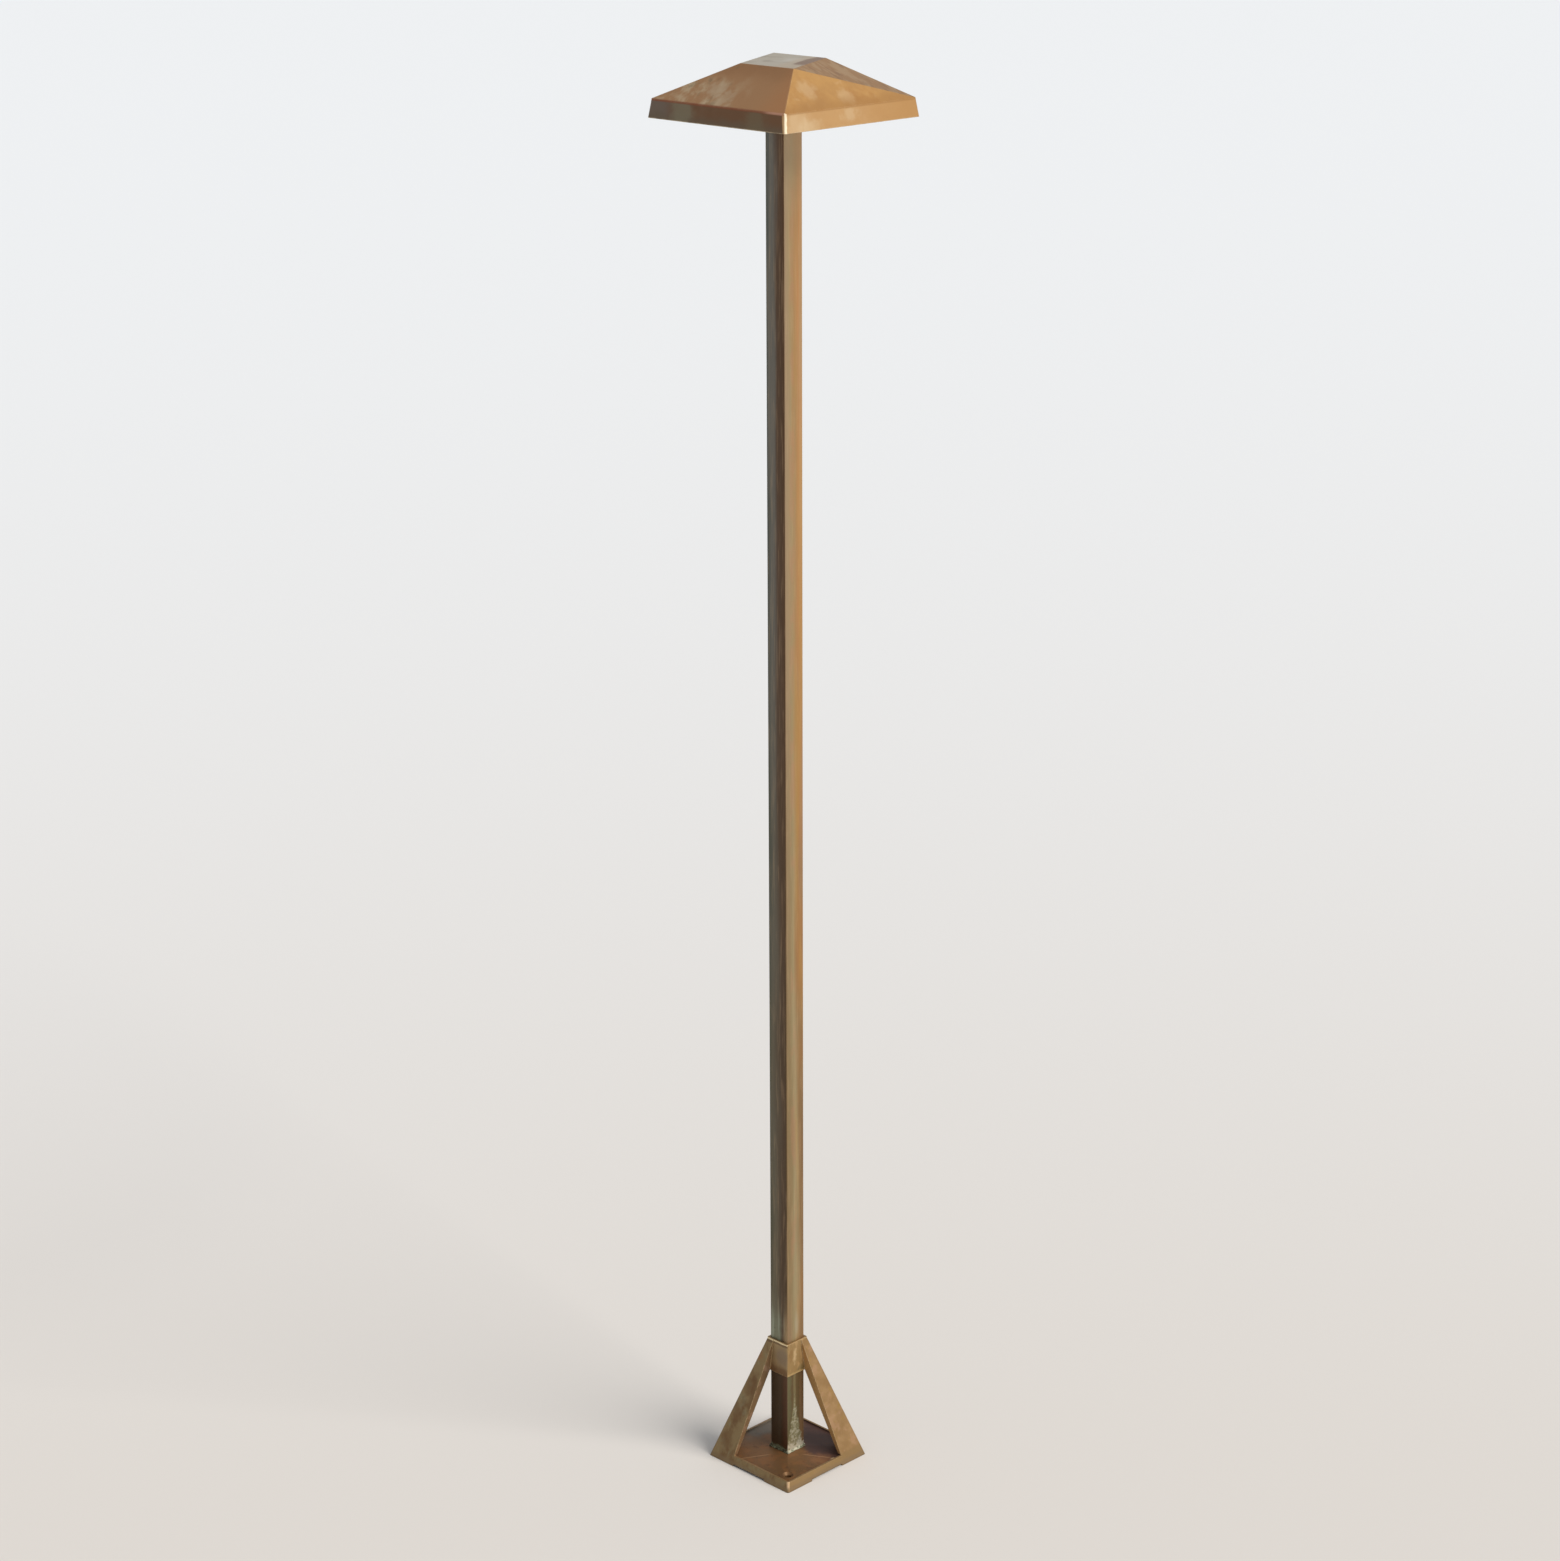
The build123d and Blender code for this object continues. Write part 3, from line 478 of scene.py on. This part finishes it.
# %% Stem finish, the stains and a painted light
lit = between(material, place, across, -0.2, 0.2)
dim = between(material, place, across, 0.2, -0.2)
tall = add(material, "Mapping", {"Vector": place, "Scale": (1, 1, 0.3)})
slow = clouds(material, tall, 40.0, 0.42, 0.62, 3.0)
colour = layer(material, colour, "#B0783F", 0.40, lit, slow, between(material, place, across, 8, 15))
colour = layer(material, colour, "#A08660", 0.40, lit, clouds(material, drawn, 7.0, 0.50, 0.64, 3.0))
colour = layer(material, colour, "#4C4F4A", 0.25, dim, slow, between(material, place, across, -9, -16))
colour = layer(material, colour, "#C9A982", 0.16, clouds(material, drawn, 1.5, 0.48, 0.70, 3.0))
less_tall = add(material, "Mapping", {"Vector": place, "Scale": (1, 1, 0.4)})
blotches = clouds(material, less_tall, 14.0, 0.46, 0.60, 3.0)
colour = layer(material, colour, "#B27C5E", 0.30, blotches, between(material, place, across, 3, 7),
               between(material, place, across, 13, 9))
colour = layer(material, colour, "#B0863F", 0.35, between(material, place, across, 8, 12),
               clouds(material, drawn, 12.0, 0.44, 0.6))
# Painted light: the sunlit side just under the hat is painted paler, over the hat's real shadow.
colour = layer(material, colour, "#C4A882", 0.50, lit, between(material, place, z, 1050, 1115, 30.0, 40.0))
splash = between(material, place, z, 165, 112, 24.0, 30.0)
colour = layer(material, colour, "#7E8069", 0.9, splash, dim,
               between(material, place, across, -4, -11, 3.0, 8.0))
colour = layer(material, colour, "#9AA08C", 0.7, splash, dim, clouds(material, drawn, 3.0, 0.52, 0.62, 3.0))
colour = layer(material, colour, "#8C7054", 0.6, splash, lit, between(material, place, across, 8, 3))
colour = layer(material, colour, "#7F6240", 0.7, splash, lit, between(material, place, across, 13, 17))
colour = layer(material, colour, "#A88E68", 0.75, splash, dim, between(material, place, across, -6, -2))
colour = layer(material, colour, "#B4B09A", 0.35, splash, lit,
               spot(material, place, (10, 1, 128), 16.0, 4.0, 5.0, (1, 5, 1)))
level = add(material, "Mapping", {"Vector": place, "Scale": (0.2, 0.2, 1)})
fine_marks = clouds(material, level, 1.6, 0.60, 0.68)
colour = layer(material, colour, "#3E4034", 0.6, fine_marks, dim,
               between(material, place, z, 132, 118, 8.0, 8.0))
print("stem stains ready")

# %% Stem finish, under the collar
under = between(material, place, z, collar_low_z + 2.5, collar_low_z - 1.5)
colour = layer(material, colour, "#4C3825", 0.92, under, dim)
colour = layer(material, colour, "#633F2A", 0.6, under, dim,
               between(material, place, across, -8, -3, 2.0, 8.0))
colour = layer(material, colour, "#625236", 0.90, under, lit)
colour = layer(material, colour, "#6D6A4C", 0.7, under, lit, between(material, place, across, 6, 3, 2.0, 6.0))
colour = layer(material, colour, "#8F6D4C", 0.6, under, lit,
               between(material, place, across, 13, 16, 2.0, 8.0))
off_middle = add(material, "Math", {0: y, 1: 0.0015})
off_middle = add(material, "Math", {0: off_middle}, operation="ABSOLUTE")
colour = layer(material, colour, "#8E8460", 0.6, lit, under,
               between(material, place, off_middle, 2.2, 0.6, 1.0, 6.0))
climb = add(material, "Math", {0: off_middle, 1: 5.0, 2: z}, operation="MULTIPLY_ADD")
salts = between(material, place, climb, 60, 52, 16.0, 5.0)
colour = layer(material, colour, "#8C8766", 0.85, lit, under, salts)
colour = layer(material, colour, "#BDB8A0", 0.75, lit, under, salts,
               clouds(material, place, 2.6, 0.47, 0.56, 3.0))
colour = layer(material, colour, "#5E5A40", 0.6, lit, under, salts,
               clouds(material, place, 3.1, 0.57, 0.62, 3.0))
colour = layer(material, colour, "#D2CFBC", 0.85, lit, between(material, place, z, 18, 13, 5.0, 4.0),
               clouds(material, place, 3.0, 0.38, 0.50, 3.0))
colour = layer(material, colour, "#93A184", 0.7, dim, between(material, place, z, 13, 10.5, 3.0, 5.0))
edge = worn_edges(material, place, 0.7, 9.0)
# The rubbed edges are shown on the sunlit side only, so they are wear and also a painted highlight.
colour = layer(material, colour, "#D3B98C", 0.30, edge, lit)
rough = add(material, "MapRange", {0: slow, 3: 0.50, 4: 0.40})
grain = add(material, "TexNoise", {"Vector": drawn, "Scale": 1000 / 0.9, "Detail": 6.0, "Roughness": 0.7})
finish("drawn_brass", material, shader, colour, rough, 0.45, grain, 0.012)
print("stem finish ready")

# %% [markdown]
# The smaller finishes follow the same pattern with fewer layers: a base tone, a second tone in
# clouds, and a bump of the size that the making leaves. Moulded plastics have a soft orange-peel,
# machined metal has a fine even grain, and rubber has a dull bloom. The real grains are finer than
# the picture can show, so all are drawn 0.8 mm across. Each finish could have a tree of its own, but
# at this size two tones and a grain are all that the eye can tell.


# %% Small finishes
def plain_finish(name, dark, light, size_mm, rough, metal=0.0, depth_mm=0.02, grain_mm=0.8, edge_mm=0.25):
    """A two-tone cloudy finish with a grain of a given size and depth."""
    material, shader, place, _ = start_finish(name)
    colour = layer(material, linear(dark), light, 1.0, clouds(material, place, size_mm, 0.35, 0.65))
    patches = clouds(material, place, size_mm * 0.7, 0.3, 0.7)
    gloss = add(material, "MapRange", {0: patches, 3: rough - 0.06, 4: rough + 0.06})
    grain = add(material, "TexNoise", {"Vector": place, "Scale": 1000 / grain_mm, "Detail": 3.0})
    finish(name, material, shader, colour, gloss, metal, grain, depth_mm, edge_mm)
    return shader


plain_finish("bright_brass", "#B99A58", "#D8BE7E", 4.0, 0.30, metal=1.0)
plain_finish("knurled_brass", "#A27E44", "#BA9556", 5.0, 0.34, metal=0.9, depth_mm=0.004, edge_mm=0.04)
plain_finish("stainless_steel", "#9A9994", "#B9B8B3", 5.0, 0.30, metal=1.0, depth_mm=0.004, edge_mm=0.05)
plain_finish("sheet_aluminium", "#B4B6B8", "#CBCDCE", 12.0, 0.42, metal=1.0)
plain_finish("black_rubber", "#141414", "#262524", 6.0, 0.72)
plain_finish("silicone", "#C4C3BD", "#D6D5D0", 9.0, 0.55)
plain_finish("lead_sheath", "#171716", "#2A2928", 8.0, 0.5)
plain_finish("core_insulation", "#7C1C16", "#962A20", 5.0, 0.4)
plain_finish("black_nylon", "#161617", "#29292A", 6.0, 0.5)
plain_finish("white_nylon", "#D3D0C6", "#E4E1D8", 6.0, 0.42)
plain_finish("board_white", "#E3E2DC", "#EFEEE9", 14.0, 0.4)
plain_finish("chip_yellow", "#D9B93B", "#EBD063", 1.5, 0.35)
plain_finish("driver_case", "#202022", "#323234", 10.0, 0.55)
shader = plain_finish("frosted_acrylic", "#E6E5DF", "#F1F0EB", 20.0, 0.45)
shader["Transmission Weight"].default_value = 0.25
shader["IOR"].default_value = 1.49
print("finishes:", len(finishes))

# %% [markdown]
# The brazing at the stem's foot has weathered to salts: chalky and pale where the sun dries it, and
# a dark green film on the shady side. The lumps are modelled further down, so this finish only has
# to colour them and make them dull.

# %% Verdigris finish
material, shader, place, (x, y, z) = start_finish("braze_verdigris")
across = add(material, "Math", {0: x, 1: y}, operation="ADD")
colour = layer(material, linear("#3C3322"), "#5D5D45", 1.0, clouds(material, place, 3.0, 0.40, 0.60))
colour = layer(material, colour, "#93A184", 0.8, clouds(material, place, 2.0, 0.50, 0.60),
               between(material, place, z, 11.0, 9.0))
chalk = between(material, place, across, -1.0, 2.0, 3.0, 4.0)
colour = layer(material, colour, "#CFCDB7", 0.9, chalk, clouds(material, place, 2.5, 0.36, 0.56))
patches = clouds(material, place, 2.0, 0.3, 0.7)
gloss = add(material, "MapRange", {0: patches, 3: 0.75, 4: 0.9})
grain = add(material, "TexNoise", {"Vector": place, "Scale": 1000 / 1.2, "Detail": 5.0})
finish("braze_verdigris", material, shader, colour, gloss, 0.1, grain, 0.25, 0.4)
print("verdigris ready")

# %% [markdown]
# Every solid takes the finish that its own record names. They could be dressed by hand, one by one,
# but a loop over the record can't forget one.

# %% Finishes on the solids
slot_of = {row["node"]: row["material_slot"] for row in frame["record"]["subparts"]}
for name, solid in nodes.items():
    solid.data.materials.clear()
    solid.data.materials.append(finishes[slot_of[name]])
print("dressed", len(nodes), "solids")

# %% [markdown]
# Five kinds of small piece are modelled here, because the solids keep them plain: the thumb knobs,
# their studs, the diffuser's screws, the cable grommet and the braze bead. Most are turned on a
# lathe, so they are made the way a lathe makes them: one point is drawn along half of the outline,
# and the line is spun round the axis. They could be built up from cylinders, but one outline holds
# every step and radius in one place. Each starts from a plane merged to a point. The ends of the
# outline lie on the axis, or meet each other, so the skin closes when the doubles are merged.


# %% A line to turn
def draw_line(name, start, steps):
    """A mesh line from a point through a row of steps, in metres, left open in edit mode."""
    bpy.ops.object.select_all(action="DESELECT")
    bpy.ops.mesh.primitive_plane_add(size=0.001, location=(0, 0, 0))
    piece = bpy.context.active_object
    piece.name = name
    bpy.ops.object.mode_set(mode="EDIT")
    bpy.ops.mesh.select_all(action="SELECT")
    bpy.ops.mesh.merge(type="CENTER")
    bpy.ops.transform.translate(value=start)
    for step in steps:
        bpy.ops.mesh.extrude_region_move(TRANSFORM_OT_translate={"value": step})
    return piece


def close_skin():
    """Merge the points that meet, turn every face outwards and leave edit mode."""
    bpy.ops.mesh.select_all(action="SELECT")
    bpy.ops.mesh.remove_doubles(threshold=0.000002)
    bpy.ops.mesh.normals_make_consistent(inside=False)
    bpy.ops.object.mode_set(mode="OBJECT")


print("line drawing ready")


# %% A lathe
def turned(name, outline_mm, steps):
    """A closed turned piece about the Z axis, from an outline of radius and height in millimetres."""
    path = [Vector((radius / 1000, 0, height / 1000)) for radius, height in outline_mm]
    piece = draw_line(name, path[0], [end - start for start, end in zip(path, path[1:])])
    bpy.ops.mesh.select_all(action="SELECT")
    bpy.ops.mesh.spin(steps=steps, angle=math.radians(360), center=(0, 0, 0), axis=(0, 0, 1))
    close_skin()
    return piece


def arc(centre_r, centre_z, radius, start, end, count=6):
    """Points of an outline along an arc, in millimetres, between two angles in degrees."""
    angles = [math.radians(start + (end - start) * i / count) for i in range(count + 1)]
    return [(centre_r + radius * math.cos(a), centre_z + radius * math.sin(a)) for a in angles]


print("lathe ready")


# %% From a pattern to a finished piece
def pick(piece):
    """Leave one piece selected and active, so that an operator acts on it alone."""
    bpy.ops.object.select_all(action="DESELECT")
    piece.select_set(True)
    bpy.context.view_layer.objects.active = piece


def copied(piece, name):
    """A copy of a piece with its own mesh and name, selected alone."""
    copy = piece.copy()
    copy.data = piece.data.copy()
    copy.name = name
    bpy.context.scene.collection.objects.link(copy)
    pick(copy)
    return copy


def dress(piece, body, node, slot_name):
    """Give a piece its finish, the body it rides on and the solid it stands for."""
    piece.data.materials.clear()
    piece.data.materials.append(finishes[slot_name])
    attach(piece, body)
    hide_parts(node)


def put(pattern, matrix, name, body, node, slot_name, smooth_deg):
    """Copy a pattern, set the copy in place and dress it."""
    piece = copied(pattern, name)
    piece.matrix_world = matrix
    bpy.ops.object.transform_apply(location=True, rotation=True, scale=True)
    bpy.ops.object.shade_smooth_by_angle(angle=math.radians(smooth_deg))
    dress(piece, body, node, slot_name)


def discard(*pieces):
    """Remove the patterns that copies were made from."""
    for piece in pieces:
        bpy.data.objects.remove(piece)


print("placing ready")

# %% [markdown]
# The thumb knobs are turned brass with a diamond knurl, a collar towards the socket and a shallow
# dish in the end. The knurl is a net of small pyramids: every other point of a fine grid on the grip
# is pushed out from the axis, which is what two crossing knurling wheels leave. A bump in the
# material could draw the net, but the knob's outline would stay smooth.

# %% Knurled knob
valley_radius, peak_radius = 4.50, 4.80
grip_start, row_height, rows, columns = 17.4, 0.36, 12, 60
bore_radius, bore_end = 2.06, 21.36
bore = [(0, bore_end), (bore_radius, bore_end)]
neck = [(bore_radius, 16.1), (2.35, 15.8), (3.3, 15.8), (3.5, 16.0), (3.5, 16.7), (4.2, 16.8)]
grip = [(valley_radius, grip_start + row_height * row) for row in range(rows + 1)]
dished_end = [(4.1, 22.3), (3.9, 22.72), (3.6, 22.8), (3.2, 22.75), (2.8, 22.5), (0, 22.35)]
knob = turned("knob_pattern", bore + neck + grip + dished_end, columns)
print("knob outline points:", len(bore + neck + grip + dished_end))

# %% Knurl
bpy.ops.object.mode_set(mode="EDIT")
bpy.ops.mesh.select_all(action="DESELECT")
bpy.ops.mesh.select_mode(type="VERT")
bpy.ops.object.mode_set(mode="OBJECT")
for vertex in knob.data.vertices:
    reach = math.hypot(vertex.co.x, vertex.co.y) * 1000
    row = round((vertex.co.z * 1000 - grip_start) / row_height)
    column = round(math.atan2(vertex.co.y, vertex.co.x) / math.radians(360 / columns))
    on_grip = abs(reach - valley_radius) < 0.01 and 0 < row < rows
    vertex.select = on_grip and (row + column) % 2 == 0
peaks = sum(vertex.select for vertex in knob.data.vertices)
bpy.ops.object.mode_set(mode="EDIT")
growth = peak_radius / valley_radius
bpy.ops.transform.resize(value=(growth, growth, 1), center_override=(0, 0, 0))
bpy.ops.object.mode_set(mode="OBJECT")
print("knurl points:", peaks)

# %% [markdown]
# A stud is a threaded rod. The Screw modifier sweeps one vee of the thread up a helix with the
# thread's own pitch, 0.7 mm, and two flat cuts trim the ends and cap them. The first and last turns
# of a real thread are cut off in the same way. A row of rings would be simpler, but they wouldn't
# climb, and that shows when the knob is backed out.

# %% Threaded stud
root_radius, pitch, turns = 1.62, 0.70, 21
stud_start, stud_end, first_turn = 10.02, 21.3, 8.5
vee = [(0.32, 0.26), (0.06, 0.04), (0, 0.06), (-0.06, 0.04), (-0.32, 0.26), (0, 0.04)]
thread_foot = (root_radius / 1000, 0, first_turn / 1000)
stud = draw_line("stud_pattern", thread_foot, [(out / 1000, 0, up / 1000) for out, up in vee])
bpy.ops.object.mode_set(mode="OBJECT")
helix = stud.modifiers.new("thread", "SCREW")
helix.axis = "Z"
helix.screw_offset = pitch / 1000
helix.iterations = turns
helix.steps = 32
helix.render_steps = 32
helix.use_merge_vertices = True
helix.merge_threshold = 0.000002
bpy.ops.object.modifier_apply(modifier="thread")
bpy.ops.object.mode_set(mode="EDIT")
for height, up in ((stud_start, -1), (stud_end, 1)):
    bpy.ops.mesh.select_all(action="SELECT")
    cut_point = (0, 0, height / 1000)
    bpy.ops.mesh.bisect(plane_co=cut_point, plane_no=(0, 0, up), use_fill=True, clear_outer=True)
close_skin()
print("stud faces:", len(stud.data.polygons))

# %% [markdown]
# The knobs and studs are drawn upright about the Z axis, with the stem's axis at zero. Each pair is
# laid on its side at the height of the screw's own hinge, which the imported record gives. The height
# could be typed in, but then the pieces would stay behind if the part changed.

# %% Knobs and studs in place
joints = {joint["name"]: joint for joint in frame["record"]["behaviour"]["joints"]}
screw_height = Matrix.Translation((0, 0, joints["knob_back_turn"]["pos_m"][2]))
to_back = screw_height @ Matrix.Rotation(math.radians(-90), 4, "X")
to_left = screw_height @ Matrix.Rotation(math.radians(-90), 4, "Y")
for side, matrix in (("back", to_back), ("left", to_left)):
    put(knob, matrix, "knurled_knob_" + side, "knob_" + side, "thumb_knob_" + side, "knurled_brass", 9)
    put(stud, matrix, "threaded_stud_" + side, "stud_" + side, "thumb_stud_" + side, "stainless_steel", 25)
discard(knob, stud)
print("knobs and studs in place")

# %% [markdown]
# The diffuser hangs on four stainless pan-head screws. The head is a low dome with a rounded rim,
# spun from its outline, and a six-sided hole for a key is cut in it with a Boolean modifier. Inset
# and extrude could make the hole too, but the Boolean leaves the dome round it as it is.

# %% Pan-head screw
face_z, head_z, tip_z, shank_radius = 1135.0, 1133.2, 1147.0, 1.5
crown = [(0, head_z), (1.3, head_z + 0.02)]
shoulder = arc(1.9, face_z - 0.9, 0.88, -90, -30, 4) + arc(2.4, face_z - 0.5, 0.6, -20, 35, 4)
seat = [(3.0, face_z - 0.05), (2.95, face_z), (shank_radius, face_z)]
shank = [(shank_radius, tip_z - 0.6), (1.1, tip_z), (0, tip_z)]
pan_head = turned("screw_pattern", crown + shoulder + seat + shank, 40)
print("screw faces:", len(pan_head.data.polygons))

# %% Key hole
key_radius, key_depth = 1.15, 1.2
bpy.ops.object.select_all(action="DESELECT")
bpy.ops.mesh.primitive_cylinder_add(vertices=6, radius=key_radius / 1000, depth=2 * key_depth / 1000,
                                    location=(0, 0, head_z / 1000))
key_hole = bpy.context.active_object
cut = pan_head.modifiers.new("key_hole", "BOOLEAN")
cut.operation = "DIFFERENCE"
cut.solver = "EXACT"
cut.object = key_hole
pick(pan_head)
bpy.ops.object.modifier_apply(modifier="key_hole")
post_offset = 60.8
screw_places = [(-1, -1), (1, -1), (1, 1), (-1, 1)]
for number, (across_x, across_y) in enumerate(screw_places, 1):
    matrix = Matrix.Translation((across_x * post_offset / 1000, across_y * post_offset / 1000, 0))
    put(pan_head, matrix, "diffuser_screw_%d" % number, "hat", "diffuser_screws", "stainless_steel", 30)
discard(pan_head, key_hole)
print("diffuser screws:", len(screw_places))

# %% [markdown]
# The grommet is a moulded rubber ring with two soft flanges that grip the plate. Nothing on it is
# sharp, so its flanges are arcs and its other corners are cut back. Two tori and a tube would look
# much the same, but one spun outline has no seams between them.

# %% Cable grommet
lip_radius, lip_centre, waist_radius = 0.6, 6.9, 5.4
lower_flange = arc(lip_centre, 0.8, lip_radius, -90, 90, 8)
upper_flange = arc(lip_centre, 3.6, lip_radius, -90, 90, 8)
waist = [(waist_radius + 0.2, 1.4), (waist_radius, 1.6), (waist_radius, 2.8), (waist_radius + 0.2, 3.0)]
throat = [(3.8, 4.2), (3.45, 4.1), (3.3, 3.8), (3.3, 0.6), (3.45, 0.3), (3.8, 0.2)]
ring = lower_flange + waist + upper_flange + throat
grommet = turned("grommet_pattern", ring + ring[:1], 48)
put(grommet, Matrix.Identity(4), "soft_grommet", "base", "cable_grommet", "black_rubber", 60)
discard(grommet)
print("grommet in place")

# %% [markdown]
# Brazing metal freezes in lumps, and salts have grown on it since. A copy of the solid bead is merged
# and remeshed to a fine even skin, and two Displace modifiers push that skin in and out: one for the
# lumps, about 4 mm apart, and one for the crust, about 1.2 mm. It could be sculpted by hand, but
# clouds of noise give the same lumps each time that the script runs.

# %% Braze bead
bead = copied(nodes["foot_braze"], "lumpy_braze")
bpy.ops.object.mode_set(mode="EDIT")
bpy.ops.mesh.select_all(action="SELECT")
bpy.ops.mesh.remove_doubles(threshold=0.000002)
bpy.ops.object.mode_set(mode="OBJECT")
skin_step = 0.22
even = bead.modifiers.new("even", "REMESH")
even.mode = "VOXEL"
even.voxel_size = skin_step / 1000
bpy.ops.object.modifier_apply(modifier="even")
print("even skin faces:", len(bead.data.polygons))

# %% Lumps and crust
for kind, size_mm, depth_mm in (("lumps", 4.0, 0.9), ("crust", 1.2, 0.35)):
    pattern = bpy.data.textures.new(kind, "CLOUDS")
    pattern.noise_scale = size_mm / 1000
    pattern.noise_depth = 2
    push = bead.modifiers.new(kind, "DISPLACE")
    push.texture = pattern
    push.texture_coords = "LOCAL"
    push.strength = depth_mm / 1000
    push.mid_level = 0.45
    bpy.ops.object.modifier_apply(modifier=kind)
bpy.ops.object.shade_smooth()
dress(bead, "base", "foot_braze", "braze_verdigris")
print("braze faces:", len(bead.data.polygons))

# %% [markdown]
# The floor is one large pale sheet. Its tone drifts from a warm grey near the plate to a cool pale
# grey far away, as in the picture. The light is plain: an even pale sky and one soft sun from the
# front right, so that one side of the stem is lit and the other is in shade. More lamps would add
# sparkle, but with these two a colour shows about as it is written.

# %% Floor
bpy.ops.object.select_all(action="DESELECT")
bpy.ops.mesh.primitive_circle_add(vertices=96, radius=60.0, fill_type="NGON", location=(0, 0, -0.0002))
floor = bpy.context.active_object
floor.name = "floor"
material, shader, place, _ = start_finish("pale_floor")
below_camera = (camera_spot.x, camera_spot.y, 0)
away = add(material, "VectorMath", {0: place, 1: below_camera}, "Value", operation="DISTANCE")
slope = add(material, "Math", {0: camera_spot.z, 1: away}, operation="DIVIDE")
near_floor = add(material, "MapRange", {0: slope, 1: 0.08, 2: 0.60}, interpolation_type="SMOOTHSTEP")
tone = layer(material, linear("#EEF2F7"), "#DDD9D5", 1.0, near_floor)
material.node_tree.links.new(tone, shader["Base Color"])
shader["Roughness"].default_value = 0.9
shader["Specular IOR Level"].default_value = 0.1
floor.data.materials.append(material)
print("floor ready")

# %% Sky and sun
world = bpy.data.worlds.new("sky")
bpy.context.scene.world = world
world.use_nodes = True
world.node_tree.nodes["Background"].inputs["Color"].default_value = linear("#EEF1F4")
world.node_tree.nodes["Background"].inputs["Strength"].default_value = 0.50
sun_heading, sun_height = math.radians(12.0), math.radians(40.0)
to_sun = Vector((math.cos(sun_heading) * math.cos(sun_height),
                 math.sin(sun_heading) * math.cos(sun_height),
                 math.sin(sun_height)))
sun_data = bpy.data.lights.new("key", "SUN")
sun_data.energy = 2.9
sun_data.angle = math.radians(35.0)
sun_data.color = linear("#FFF9F1")[:3]
sun = bpy.data.objects.new("key", sun_data)
sun.rotation_mode = "QUATERNION"
sun.rotation_quaternion = to_sun.to_track_quat("Z", "Y")
bpy.context.scene.collection.objects.link(sun)
print("sky and sun ready")

# %% [markdown]
# Last, the scene is brought up to date.

# %% Finish
bpy.context.view_layer.update()
